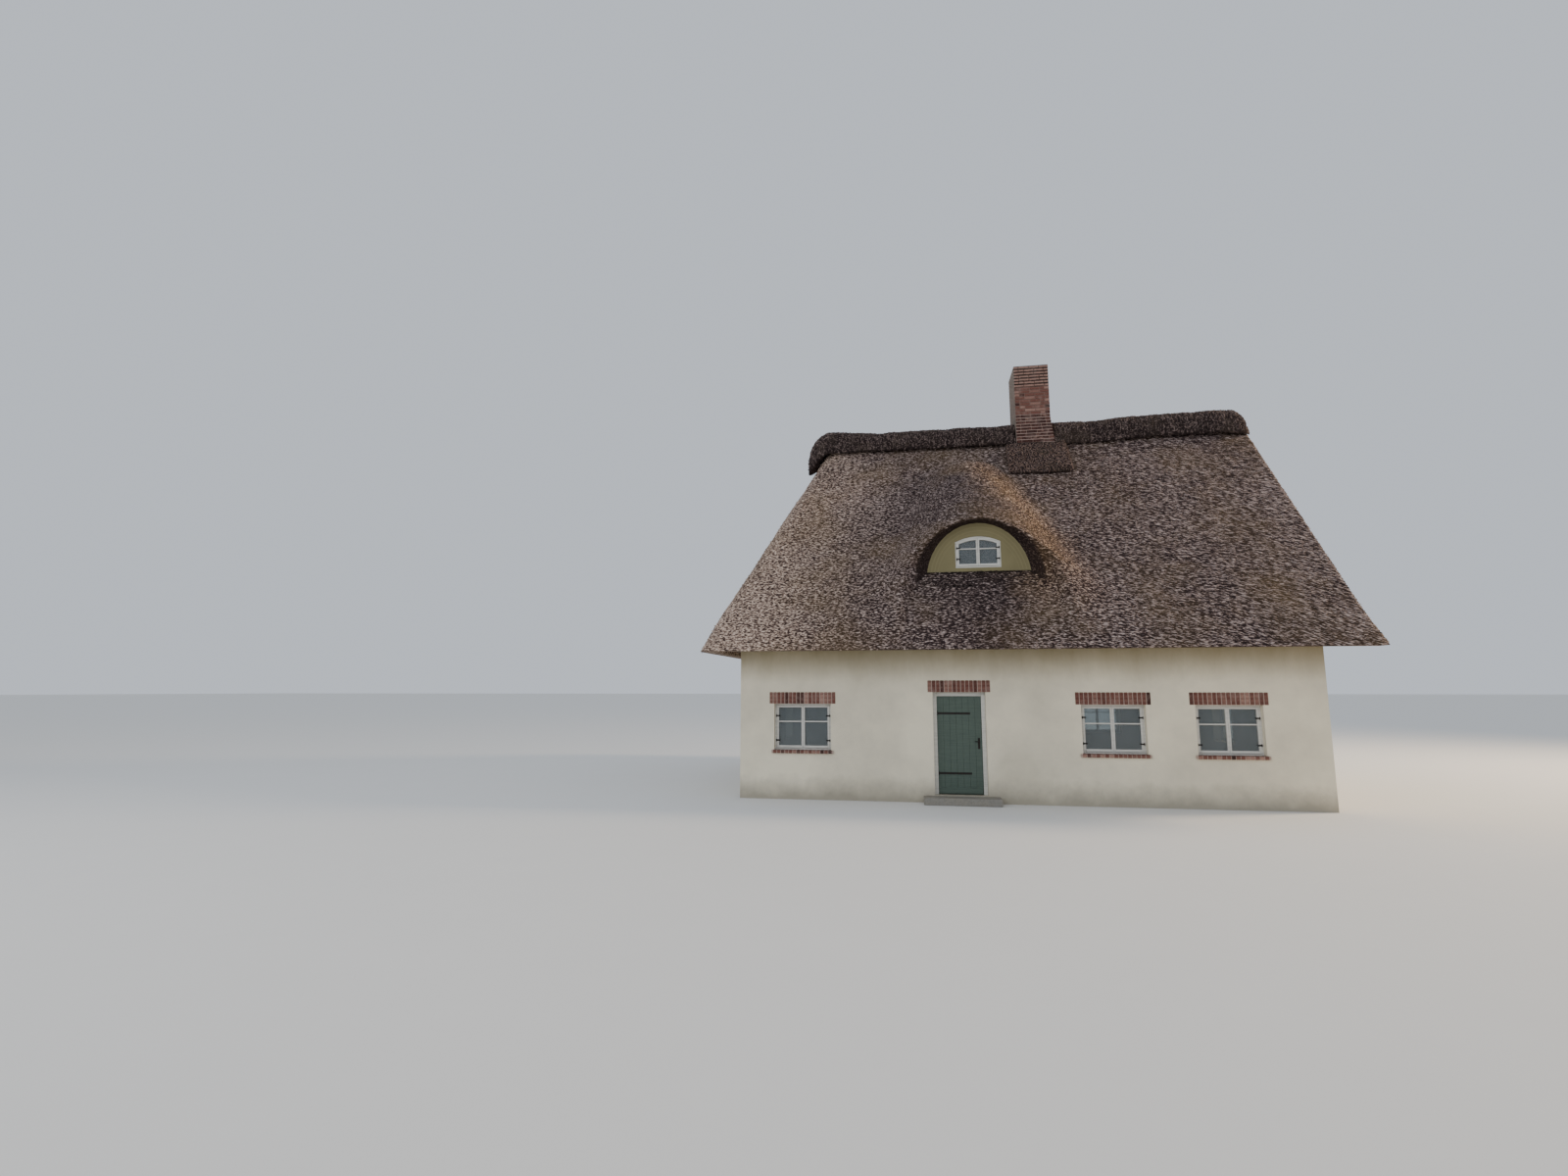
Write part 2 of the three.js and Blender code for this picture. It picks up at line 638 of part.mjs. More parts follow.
// The header's section, and with a rise the space that the panel's foot keeps free of it
function headerSection(rise) {
  const [outer, inner] = [PANEL_Y + GAP, PANEL_Y + PANEL_THICK];
  const low = innerSlopeZ(inner) - HEADER_DEPTH;
  return outline([
    [outer, low],
    [inner, low],
    [inner, innerSlopeZ(inner) + rise],
    [outer, innerSlopeZ(outer) + rise],
  ]);
}

function dormerHeader() {
  const half = RAFTER_WIDTH / 2 + GAP;
  return alongX(headerSection(0), [RAFTER_X[1] + half, RAFTER_X[2] - half]);
}

// Walls

// A hole through a wall for a window or door, in the wall's own length and height
function throughX([, centre, sill, head, width]) {
  return block([-FAR, FAR], [centre - width / 2, centre + width / 2], [sill, head]);
}

function throughY([, centre, sill, head, width], side) {
  const depth = side < 0 ? [-FAR, 0] : [0, FAR];
  return block([centre - width / 2, centre + width / 2], depth, [sill, head]);
}

const doorHole = ["door", DOOR.x, FLOOR_TOP, DOOR.head, DOOR.width];

function longWall(side, holes) {
  const faces = [WALL_INNER_DEPTH, WALL_HALF_DEPTH].map((y) => side * y).sort((a, b) => a - b);
  let wall = block([WALL_LEFT, GABLE_INNER_X - GAP], faces, [0, LONG_WALL_TOP]);
  for (const hole of holes) {
    wall = wall.subtract(throughY(hole, side));
  }
  return wall;
}

function leftWall() {
  const depth = WALL_INNER_DEPTH - GAP;
  const frameUnder = hipZ(WALL_LEFT) - HIP_DROP - HIP_FRAME_ACROSS * HIP_SLOPE;
  const top = frameUnder - HIP_GAP * 1.5;
  const wall = block([WALL_LEFT, WALL_LEFT + WALL_THICK], [-depth, depth], [0, top]);
  return wall.subtract(throughX(LEFT_WINDOWS[0]));
}

function gableWall() {
  const shape = outline([
    [-WALL_HALF_DEPTH, 0],
    [WALL_HALF_DEPTH, 0],
    [WALL_HALF_DEPTH, innerSlopeZ(WALL_HALF_DEPTH)],
    [0, innerSlopeZ(0)],
    [-WALL_HALF_DEPTH, innerSlopeZ(WALL_HALF_DEPTH)],
  ]);
  let wall = alongX(shape, [GABLE_INNER_X, WALL_RIGHT]);
  for (const hole of GABLE_WINDOWS) {
    wall = wall.subtract(throughX(hole));
  }
  return wall.subtract(plateBlock(-1, GAP)).subtract(plateBlock(1, GAP));
}

function floorBetweenWalls(low, high) {
  const depth = WALL_INNER_DEPTH - GAP;
  return block([WALL_LEFT + WALL_THICK + GAP, GABLE_INNER_X - GAP], [-depth, depth], [low, high]);
}

function soffit(side) {
  const reach = innerSlopeY(EAVE_Z + SOFFIT_THICK);
  const ends = [WALL_HALF_DEPTH + GAP, reach].map((y) => side * y).sort((a, b) => a - b);
  const left = innerHipX(EAVE_Z + SOFFIT_THICK);
  return block([left, SOFFIT_RIGHT], ends, [EAVE_Z, EAVE_Z + SOFFIT_THICK]);
}

function leftSoffit() {
  const half = WALL_HALF_DEPTH;
  const outer = innerHipX(EAVE_Z + SOFFIT_THICK);
  return block([outer, WALL_LEFT - GAP], [-half, half], [EAVE_Z, EAVE_Z + SOFFIT_THICK]);
}

// Windows and the door: made facing -Y about the middle of the opening's sill, then turned

// Outline of an opening, drawn in all round; with a rise its head is a segmental arch
function windowShape({ width, height, rise }, inset) {
  const half = width / 2 - inset;
  const points = [[half, inset], [-half, inset]];
  if (rise === 0) {
    points.push([-half, height - inset], [half, height - inset]);
    return outline(points);
  }
  const radius = (width ** 2 / 4 + rise ** 2) / (2 * rise);
  const reach = Math.asin(half / (radius - inset));
  for (let step = 0; step <= HEAD_SEGMENTS; step++) {
    const angle = reach * ((2 * step) / HEAD_SEGMENTS - 1);
    const fall = radius - (radius - inset) * Math.cos(angle);
    points.push([(radius - inset) * Math.sin(angle), height - fall]);
  }
  return outline(points);
}

// Two sashes, each with one cross bar, and the rim that holds them
function windowFrame(size) {
  const paneLow = FRAME_BAR + GAP;
  const paneTop = size.height - paneLow;
  const middle = paneLow + (paneTop - paneLow) * CROSS_BAR_HEIGHT;
  const rows = [
    [paneLow, middle - BAR / 2],
    [middle + BAR / 2, paneTop],
  ];
  const clear = alongY(windowShape(size, paneLow), [-BAR_DEPTH, BAR_DEPTH + 1]);
  let frame = alongY(windowShape(size, GAP), [0, FRAME_DEPTH]);
  for (const side of [-1, 1]) {
    const ends = [side * MEETING_HALF, (side * size.width) / 2].sort((a, b) => a - b);
    for (const row of rows) {
      frame = frame.subtract(block(ends, [-BAR_DEPTH, BAR_DEPTH + 1], row).intersect(clear));
    }
  }
  const rebate = alongY(windowShape(size, FRAME_BAR / 2 + GAP), [BAR_DEPTH, 2 * FRAME_DEPTH]);
  return frame.subtract(rebate);
}

function windowGlass(size) {
  const front = BAR_DEPTH + GAP;
  return alongY(windowShape(size, FRAME_BAR / 2 + 2 * GAP), [front, front + GLASS_THICK]);
}

// Puts a piece that faces -Y into a wall that faces the given way
function placed(body, turn, x, y, z) {
  const geometry = geometryOf(body);
  geometry.rotateZ(turn);
  geometry.translate(x, y, z);
  return solid(geometry);
}

function addWindow([name, , sill, head, width, rise = 0], turn, x, y) {
  const size = { width, height: head - sill, rise };
  add(name + "_frame", "whitePaint", placed(windowFrame(size), turn, x, y, sill));
  add(name + "_glass", "glass", placed(windowGlass(size), turn, x, y, sill));
}

function addWindows() {
  const depth = WALL_HALF_DEPTH - FRAME_SETBACK;
  for (const hole of FRONT_WINDOWS) {
    addWindow(hole, 0, hole[1], -depth);
  }
  for (const hole of BACK_WINDOWS) {
    addWindow(hole, Math.PI, hole[1], depth);
  }
  for (const hole of LEFT_WINDOWS) {
    addWindow(hole, -Math.PI / 2, WALL_LEFT + FRAME_SETBACK, hole[1]);
  }
  for (const hole of GABLE_WINDOWS) {
    addWindow(hole, Math.PI / 2, WALL_RIGHT - FRAME_SETBACK, hole[1]);
  }
}

function addDormer() {
  const { sill, head, width, rise, setback } = DORMER_WINDOW;
  const shape = windowShape({ width, height: head - sill, rise }, 0);
  const hole = placed(alongY(shape, [PANEL_Y, TUNNEL_Y]), 0, DORMER_X, 0, sill);
  const foot = innerSlopeZ(PANEL_Y + PANEL_THICK) - HEADER_DEPTH;
  const body = alongY(panelShape(foot), [PANEL_Y + GAP, PANEL_Y + PANEL_THICK]);
  const panel = body.subtract(alongX(headerSection(GAP), [-FAR, FAR]));
  add("dormer_panel", "panel", panel.subtract(hole));
  add("dormer_header", "timber", dormerHeader());
  const window = ["dormer_window", DORMER_X, sill, head, width, rise];
  addWindow(window, 0, DORMER_X, PANEL_Y + setback);
}

function addDoor() {
  const { post, depth, play } = DOOR;
  const front = -WALL_HALF_DEPTH + FRAME_SETBACK;
  const half = DOOR.width / 2 - GAP;
  const low = FLOOR_TOP + GAP;
  const high = DOOR.head - GAP;
  const frameShape = outline([
    [DOOR.x - half, low],
    [DOOR.x - half + post, low],
    [DOOR.x - half + post, high - post],
    [DOOR.x + half - post, high - post],
    [DOOR.x + half - post, low],
    [DOOR.x + half, low],
    [DOOR.x + half, high],
    [DOOR.x - half, high],
  ]);
  add("door_frame", "whitePaint", alongY(frameShape, [front, front + depth]));
  const leafHalf = half - post - play;
  const leafFront = front + DOOR_LEAF.setback;
  const leaf = block(
    [DOOR.x - leafHalf, DOOR.x + leafHalf],
    [leafFront, leafFront + DOOR_LEAF.thick],
    [low, high - post - play],
  );
  add("front_door", "greenPaint", leaf);
  const step = block(
    [DOOR.x - STEP.width / 2, DOOR.x + STEP.width / 2],
    [-WALL_HALF_DEPTH - GAP - STEP.depth, -WALL_HALF_DEPTH - GAP],
    [0, STEP.height],
  );
  add("door_step", "stone", step);
}

// Assembly

function addWalls() {
  add("floor_slab", "stone", floorBetweenWalls(0, FLOOR_TOP));
  const loft = floorBetweenWalls(LOFT_FLOOR_Z, LOFT_FLOOR_Z + LOFT_FLOOR_THICK);
  add("loft_floor", "timber", loft.subtract(chimneyHole()));
  add("front_wall", "render", longWall(-1, [...FRONT_WINDOWS, doorHole]));
  add("back_wall", "render", longWall(1, BACK_WINDOWS));
  add("left_wall", "render", leftWall());
  add("right_gable_wall", "render", gableWall());
}

function addTimber() {
  add("wall_plate_front", "timber", plateBlock(-1, 0));
  add("wall_plate_back", "timber", plateBlock(1, 0));
  RAFTER_X.forEach((x, k) => add("rafter_pair_" + (k + 1), "timber", rafterPair(x)));
  add("verge_rafter_front", "timber", vergeRafter(-1));
  add("verge_rafter_back", "timber", vergeRafter(1));
  add("verge_collar", "timber", vergeCollar());
  add("hip_frame", "timber", hipFrame());
  add("front_soffit", "timber", soffit(-1));
  add("back_soffit", "timber", soffit(1));
  add("left_soffit", "timber", leftSoffit());
}

function addRoof() {
  const joint = GAP / 2;
  const front = frontReed(joint);
  const back = backReed(joint);
  add("front_thatch", "reed", front.subtract(chimneyHole()));
  add("back_thatch", "reed", back.subtract(chimneyHole()));
  add("left_hip_thatch", "reed", hipReed(joint));
  add("ridge_roll_left", "heather", ridgeRollLeft());
  add("ridge_roll_right", "heather", ridgeRollRight());
  add("chimney_stack", "brick", chimneyStack());
  add("chimney_apron_front", "heather", apron(-1, lifted(front, SLOPE_GAP)));
  add("chimney_apron_back", "heather", apron(1, lifted(back, SLOPE_GAP)));
}

addWalls();
addTimber();
addRoof();
addDormer();
addWindows();
addDoor();

export default cottage;
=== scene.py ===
"""Dresses the thatched cottage: reed, heather, brickwork, render, joinery, camera and light."""
import math
from functools import cache, partial
from itertools import product

import bmesh
import bpy
import numpy as np
from bpy.props import FloatProperty, FloatVectorProperty, IntProperty, PointerProperty
from mathutils import Matrix, Vector


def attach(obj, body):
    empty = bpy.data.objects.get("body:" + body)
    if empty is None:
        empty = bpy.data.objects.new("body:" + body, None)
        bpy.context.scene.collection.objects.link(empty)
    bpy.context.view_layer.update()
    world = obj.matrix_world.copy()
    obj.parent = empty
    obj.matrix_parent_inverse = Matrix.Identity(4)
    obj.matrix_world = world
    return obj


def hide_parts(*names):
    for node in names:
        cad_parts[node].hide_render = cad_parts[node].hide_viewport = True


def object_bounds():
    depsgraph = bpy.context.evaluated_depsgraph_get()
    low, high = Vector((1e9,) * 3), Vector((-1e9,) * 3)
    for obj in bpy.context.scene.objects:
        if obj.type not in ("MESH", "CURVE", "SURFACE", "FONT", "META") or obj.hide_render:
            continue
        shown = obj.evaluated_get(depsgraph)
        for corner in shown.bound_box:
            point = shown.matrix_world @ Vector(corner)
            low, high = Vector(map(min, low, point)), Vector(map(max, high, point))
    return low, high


bl_info = {
    "name": "Thatched Cottage",
    "version": (1, 0, 0),
    "blender": (4, 5, 0),
    "location": "View3D > Sidebar > Cottage",
    "description": "Builds the visible surfaces of a thatched cottage around its solid frame",
    "category": "Object",
}

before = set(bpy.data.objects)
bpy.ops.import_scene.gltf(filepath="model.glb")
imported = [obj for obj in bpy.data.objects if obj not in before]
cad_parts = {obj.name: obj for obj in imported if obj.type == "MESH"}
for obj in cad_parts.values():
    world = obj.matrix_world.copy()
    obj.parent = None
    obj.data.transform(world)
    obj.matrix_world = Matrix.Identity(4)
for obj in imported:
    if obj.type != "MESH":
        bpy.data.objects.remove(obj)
CAD_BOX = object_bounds()

# Roof surfaces, in metres: X along the ridge, the front at negative Y
HALF_LENGTH, HALF_WIDTH, CHIMNEY_TOP = (round(c, 4) for c in CAD_BOX[1])
EAVE_Z = 3.13
APEX_Z = 8.92
VERGE_X = 6.37
HIP_RUN = 2.31
THATCH = 0.35
HIP_ROUND = 0.9
VERGE_ROUND = 0.11
MAIN_SLOPE = (APEX_Z - EAVE_Z) / HALF_WIDTH
HIP_SLOPE = (APEX_Z - EAVE_Z) / HIP_RUN
RIDGE_LEFT_X = HIP_RUN - HALF_LENGTH
PLAN_SLOPE = HIP_RUN / HALF_WIDTH
MAIN_DROP = THATCH * math.hypot(1, MAIN_SLOPE)
HIP_DROP = THATCH * math.hypot(1, HIP_SLOPE)

# Lowest part of the reed, which hangs and flares a little and is cut off level
BELOW_EAVE = 5.15
DROOP = 0.085
FLARE = 0.1
FLARE_RUN = 0.7
HANGING = 0.8

# Spacing of the points of the reed
SKIN = 0.0002
HIP_COLUMNS = (SKIN, 0.07, 0.15, 0.26, 0.38)
VERGE_COLUMNS = (0.11, 0.085, 0.06, 0.035, 0.015, 0.004, 0.0)
BRIDGE_END_X = -3.1
BRIDGE_STEPS = 28
CLEAR_OF_LINE = 0.03
ROW_RATIO = 0.64
HIP_ROW_RATIO = 0.375
HIP_TOP_Y = 0.03
SWAY_SIZE, LUMP_SIZE = 0.9, 0.34
CALM_VERGE, CALM_SHARE = 0.15, 0.4
BUTT_FACING, BUTT_WIDENING = 0.3, 1.9

# Most clumps on a square metre, how their sizes vary, how their tip leans and how deep they sit
MOST_CLUMPS = 900.0
CLUMP_LEAST, CLUMP_MOST = (0.6, 0.6, 0.5), (1.4, 1.4, 1.3)
CLUMP_TIP = (0.26, 0.0, 0.0)
CLUMP_SUNK = (0.0, 0.0, -0.25)

# Eyebrow dormer
DORMER_X = -0.52
MOUTH_Y = -3.75
PANEL_Y = -3.5
TUNNEL_Y = -3.1
ROOM_SIDE_Y = -3.3
EYEBROW_RISE = 1.63
EYEBROW_HALF_WIDTH = 3.0
EYEBROW_SOFT = 0.18
EYEBROW_GAIN = 0.4073
EYEBROW_FADE = (0.5, 1.3)
FLANK_RUN = 1.05
FLANK_FULL = 1.75
MOUTH_LIP = 0.004
MOUTH_LEDGE = 0.012
MOUTH_SIDE = 0.05
ARCH_SPRING_Z = 4.58
ARCH_FOOT_Z = 3.9
PANEL_ARCH = (1.1, 5.83)
MOUTH_ARCH = (1.33, 5.87)

# Ridge of heather
ROLL_RIGHT = 6.4
ROLL_REACH = 0.437
ROLL_TOP_Z = APEX_Z + 0.335
ROLL_FOOT_Z = APEX_Z - 0.364
ROLL_POWER = 2 / 2.4
ROLL_UNDERSIDE = 0.57
ROLL_LIFT = 0.0006
ROLL_END_ROUND = 0.36
ROLL_END_STEPS = (0.36, 0.31, 0.26, 0.21, 0.17, 0.13, 0.1, 0.07, 0.045, 0.025, 0.01, 0.0)
ROLL_END_POWER = 2.3
ROLL_END_SHORT = 0.015
ROLL_END_SCALE = 0.4
ROLL_END_FALL = 0.06
ROLL_END_FALL_RUN = (0.7, 0.2)
ROLL_SAG = 0.085
SAG_LEFT = (-3.9, -2.6)
SAG_RIGHT = (2.6, 4.2)
HOOD_X = -4.0
HOOD_END_X = -3.72
HOOD_DEGREES = 88
HOOD_STATIONS = 24
HOOD_LIFT = 0.125
HOOD_SHIFT = 0.09
HOOD_REACH = 0.575
HOOD_FALL = 0.42
HEATHER_LUMP_SIZE, HEATHER_KNOB_SIZE = 0.42, 0.13
SPRIG_WANDER, SPRIG_FACING = 3.1, -0.35

# Chimney and its aprons
CHIMNEY_X = 1.24
CHIMNEY_HALF = 0.4325
CHIMNEY_LEFT = CHIMNEY_X - CHIMNEY_HALF
CHIMNEY_HALF_DEPTH = 0.495
CHIMNEY_SPREAD = 0.085
SPREAD_LOW, SPREAD_HIGH = 8.56, 9.21
FLUE_HALF = (0.19, 0.255)
FLUE_FOOT_Z = 0.45
APRON_LEFT, APRON_RIGHT, APRON_RUN, APRON_THICK = 0.51, 2.03, 1.23, 0.23
APRON_END_ROUND, APRON_EDGE_ROUND, APRON_FALL = 0.07, 0.13, 0.15
APRON_UNDERCUT = (0.93, 0.9)
APRON_SUNK = 0.03

# Bricks and mortar of the chimney; below the indoor height it stands in the loft
COURSES = 29
BRICK_ROUND, BRICK_WOBBLE, LEAST_BRICK = 0.045, 0.004, 0.05
BEDDING = 0.02
CORE_DOWN = 0.012
CAP_INSET = 0.03
CAP_EDGE = 0.018
INDOOR_Z = 6.0
CLEAR_Z = 12.0
TOP_BAND_Z = (10.08, 10.14)
OLD_BAND_Z = (9.39, 9.35)

# Walls and openings
WALL_LEFT, WALL_RIGHT, WALL_FRONT = -5.6, 5.73, 4.07
FLOOR_Z = 0.15
SETBACK = 0.11
DORMER_SETBACK = 0.02
FRAME_DEPTH = 0.07
WINDOW_POST = 0.0341
STILE = 0.044
MEETING_STILE, BOTTOM_RAIL = STILE * 0.75, STILE * 1.2
TRANSOM_SHARE = 0.62
SASH_DEPTH, RAIL_DEPTH = (-0.004, 0.038), (-0.003, 0.037)
BAR_DEPTH, DRIP_DEPTH = (0.004, 0.034), (-0.02, 0.0)
WINDOW_HINGE_UP, WINDOW_HINGE_DOWN = 0.18, 0.27
CLEAR = 0.002
GAP = 0.0003
LINTEL_REACH, SILL_REACH = 0.11, 0.06
SILL_BRICK = (0.15, 0.068)

# Turn of each wall about Z, and the X or Y of its outside
WALLS = {
    "front": (0.0, -WALL_FRONT),
    "back": (math.pi, WALL_FRONT),
    "left": (-math.pi / 2, WALL_LEFT),
    "gable": (math.pi / 2, WALL_RIGHT),
    "dormer": (0.0, PANEL_Y),
}

# Name, wall, place along the wall, sill height, height and width
STOREY_WINDOW = (1.0, 0.96, 1.2)
WINDOWS = (
    ("front_window_1", "front", -4.27, *STOREY_WINDOW),
    ("front_window_2", "front", 1.9, *STOREY_WINDOW),
    ("front_window_3", "front", 4.0, *STOREY_WINDOW),
    ("back_window_1", "back", -3.3, *STOREY_WINDOW),
    ("back_window_2", "back", 3.4, *STOREY_WINDOW),
    ("left_window", "left", 0.0, *STOREY_WINDOW),
    ("gable_window_ground", "gable", 0.0, *STOREY_WINDOW),
    ("gable_window_loft", "gable", 0.0, 3.7, 1.0, 1.0),
)
DORMER_WINDOW = ("dormer_window", "dormer", DORMER_X, 4.85, 0.69, 0.96)
DORMER_HEAD_RISE = 0.12
DOOR_X, DOOR_WIDTH, DOOR_HEAD = -1.05, 1.05, 2.2
DOOR_OPENING = ("front_door", "front", DOOR_X, FLOOR_Z, DOOR_HEAD - FLOOR_Z, DOOR_WIDTH)
DOOR_POST = 0.08
DOOR_CLEAR = 0.003
DOOR_FACE = SETBACK + 0.025
DOOR_HINGES = (0.55, 1.75)
LATCH_Z = 1.2
STEP_HALF, STEP_RUN, STEP_Z = 0.75, 0.38, 0.14


def paint(code):
    """Linear colour from a six-digit hexadecimal sRGB code."""
    values = [int(code[i:i + 2], 16) / 255 for i in (0, 2, 4)]
    return tuple(v / 12.92 if v <= 0.04045 else ((v + 0.055) / 1.055) ** 2.4 for v in values)


def shaded(tint, amount):
    return tuple(v * amount for v in tint)


def colour(name, description, code):
    return FloatVectorProperty(
        name=name, description=description, subtype="COLOR", min=0, max=1, default=paint(code))


def length(name, description, value):
    return FloatProperty(name=name, description=description, unit="LENGTH", min=0, default=value)


def power(name, description, value):
    return FloatProperty(name=name, description=description, unit="POWER", min=0, default=value)


def seed(description, value):
    return IntProperty(name="Seed", description=description, min=0, default=value)


class ReedSettings(bpy.types.PropertyGroup):
    """Sizes and colours of the reed coat."""
    grid: length("Grid", "Distance between the points of the reed's surface", 0.1)
    sway: length("Sway", "Height of the broad unevenness of the coat", 0.016)
    lump: length("Lumps", "Height of the small lumps of the coat", 0.009)
    spacing: length("Clump spacing", "Least distance between two clumps of reed butts", 0.046)
    clump_run: length("Clump run", "Size of a clump down the slope", 0.055)
    clump_width: length("Clump width", "Size of a clump across the slope", 0.08)
    clump_height: length("Clump height", "How far a clump stands out", 0.018)
    wander: FloatProperty(name="Wander", description="Most turn of a clump", subtype="ANGLE", default=0.6)
    seed: seed("Start of the random placing", 7)
    dark: colour("Dark", "Reed in the hollows", "2d2222")
    middle: colour("Middle", "Most of the reed", "7a6862")
    pale: colour("Pale", "Bleached reed ends", "bcaaa3")
    warm: colour("Warm", "Sun-warmed and mossy reed", "756140")


class HeatherSettings(bpy.types.PropertyGroup):
    """Sizes and colours of the heather ridge and aprons."""
    step: length("Step", "Distance between the points of the surface", 0.06)
    lump: length("Lumps", "Height of the lumps along the ridge", 0.028)
    knob: length("Knobs", "Height of the small knobs", 0.009)
    spacing: length("Sprig spacing", "Least distance between two sprigs", 0.045)
    sprig_run: length("Sprig run", "Length of a sprig", 0.11)
    sprig_width: length("Sprig width", "Width of a sprig", 0.034)
    sprig_height: length("Sprig height", "How far a sprig stands out", 0.02)
    seed: seed("Start of the random placing", 19)
    dark: colour("Dark", "Old heather", "2a2120")
    pale: colour("Pale", "Weathered heather tips", "927f78")
    moss: colour("Moss", "Patches of moss", "4a4036")
    brown: colour("Brown", "Younger heather of the aprons", "7a5f4e")


class BrickSettings(bpy.types.PropertyGroup):
    """Sizes and colours of bricks and mortar."""
    long: length("Length", "Length of a brick", 0.24)
    wide: length("Width", "Width of a brick", 0.115)
    high: length("Height", "Height of a brick", 0.067)
    joint: length("Joint", "Thickness of a mortar joint", 0.016)
    recess: length("Recess", "How far the mortar lies behind the bricks", 0.007)
    seed: seed("Start of the random colours", 5)
    dark: colour("Dark", "Burnt bricks", "3f2824")
    red: colour("Red", "Most bricks", "7e5449")
    pale: colour("Pale", "Faded bricks", "b08a7b")
    mortar: colour("Mortar", "Lime mortar", "b39c90")
    smeared: colour("Smeared joints", "Joints washed with brick dust", "846a5f")
    # Soot on the joints, also laid on the brick edges as painted shade near the top
    soot_and_shade: colour("Sooty joints", "Washed-out joints near the top", "2f2723")
    left_face_grey: colour("Slurry", "Lime slurry on the left face", "8e8377")


class WallSettings(bpy.types.PropertyGroup):
    """Colours of the walls, floors and timber."""
    render: colour("Render", "Lime render", "f3e9d0")
    under_eave_tint: colour("Stain", "Stained render under the eaves", "87774a")
    foot: colour("Foot", "Damp render near the ground", "9a9282")
    panel: colour("Panel", "Paint of the dormer panel", "867d5b")
    timber: colour("Timber", "Bare timber", "6c5a47")
    stone: colour("Stone", "Step and slab", "8f8b83")


class JoinerySettings(bpy.types.PropertyGroup):
    """Sizes and colours of windows and door."""
    bevel: length("Bevel", "Rounding of the wooden edges", 0.004)
    bar: length("Glazing bar", "Width of a glazing bar", 0.026)
    board: length("Door board", "Width of a door board", 0.124)
    white: colour("White", "Paint of the windows", "dcd9d0")
    green: colour("Green", "Paint of the door", "56645a")
    iron: colour("Iron", "Hinges and latch", "2b2a29")
    rust: colour("Rust", "Rusty spots of the iron", "4a352a")
    glass: colour("Glass", "Tint of the panes", "c8d2d4")


class StageSettings(bpy.types.PropertyGroup):
    """Camera, floor and lights."""
    lens: FloatProperty(
        name="Lens", description="Focal length in millimetres on a 36 mm sensor", min=1, default=17.1)
    eye: length("Eye height", "Height of the camera", 2.25)
    floor: colour("Floor", "Pale floor", "e4e3e0")
    sky: colour("Ambient", "Colour of the light from all round", "dfe6f0")
    ambient: FloatProperty(name="Ambient strength", description="Light from all round", default=0.86)
    key: power("Key power", "Warm light from the right", 7500)
    fill: power("Fill power", "Cool light from the left", 1500)


GROUPS = {
    "cottage_reed": ReedSettings,
    "cottage_heather": HeatherSettings,
    "cottage_brick": BrickSettings,
    "cottage_wall": WallSettings,
    "cottage_joinery": JoinerySettings,
    "cottage_stage": StageSettings,
}


def settings(kind):
    """The scene's values of one of the groups above."""
    return getattr(bpy.context.scene, "cottage_" + kind)


# Roof surfaces as heights over the plan

def main_z(y):
    return APEX_Z - np.abs(y) * MAIN_SLOPE


def hip_z(x):
    return EAVE_Z + (x + HALF_LENGTH) * HIP_SLOPE


def mitre_x(y):
    return RIDGE_LEFT_X - np.abs(y) * PLAN_SLOPE


def soft_min(a, b, reach):
    """The lower of two heights, blended where they are close."""
    near = np.maximum(reach - np.abs(a - b), 0) / reach
    return np.minimum(a, b) - near * near * reach / 4


def soft_rise(height, reach):
    """A height above nothing, blended where it leaves zero."""
    return np.where(height >= reach, height, np.clip(height + reach, 0, 2 * reach) ** 2 / (4 * reach))


def smooth_step(value, low, high):
    t = np.clip((value - low) / (high - low), 0, 1)
    return t * t * (3 - 2 * t)


def eyebrow(x, y):
    """How far the eyebrow lifts the reed over the main slope; nothing behind the ridge."""
    across = np.minimum(np.abs(x - DORMER_X) / EYEBROW_HALF_WIDTH, 1)
    arch = (1 + np.cos(np.pi * across)) / 2
    back = np.maximum(y - MOUTH_Y, 0) * EYEBROW_GAIN
    lift = soft_rise(EYEBROW_RISE * arch - EYEBROW_SOFT - back, EYEBROW_SOFT)
    return smooth_step(-y, *EYEBROW_FADE) * lift


def flank(x, y):
    """The eyebrow with its two flanks, which run out below the mouth."""
    run = FLANK_RUN * smooth_step(np.abs(x - DORMER_X), MOUTH_ARCH[0], FLANK_FULL)
    return eyebrow(x, np.maximum(y, MOUTH_Y)) * (1 - smooth_step(MOUTH_Y - y, 0, run + MOUTH_LIP))


def verge_drop(x):
    inside = np.clip(VERGE_X - x, 0, VERGE_ROUND)
    fall = VERGE_ROUND - np.sqrt(VERGE_ROUND ** 2 - (VERGE_ROUND - inside) ** 2)
    return fall * math.hypot(1, MAIN_SLOPE)


def rounded_roof(x, y):
    return soft_min(main_z(y), hip_z(x), HIP_ROUND)


def slope_top(x, y):
    return rounded_roof(x, y) - verge_drop(x)


def slope_under(x, y):
    room_side = np.where(y > ROOM_SIDE_Y, eyebrow(x, y), 0)
    return np.minimum(main_z(y) - MAIN_DROP + room_side, hip_z(x) - HIP_DROP)


def lumps(points, size, start):
    """Smooth noise from -1 to 1 at each point, in lumps of about the given size."""
    shift, mixing, gain = 17.31, np.array((127.1, 311.7, 74.7)), 43758.5453
    scaled = points / size + start * shift
    cell = np.floor(scaled)
    part = scaled - cell
    part = part * part * (3 - 2 * part)
    total = np.zeros(len(points))
    for corner in product((0, 1), repeat=3):
        weight = np.prod(np.where(corner, part, 1 - part), axis=1)
        value = np.sin((cell + corner) @ mixing) * gain
        total += weight * (2 * (value - np.floor(value)) - 1)
    return total


# Meshes

def link_object(name, data):
    made = bpy.data.objects.new(name, data)
    bpy.context.scene.collection.objects.link(made)
    return made


def link_mesh(name, mesh, material):
    mesh.materials.clear()
    mesh.materials.append(material)
    return link_object(name, mesh)


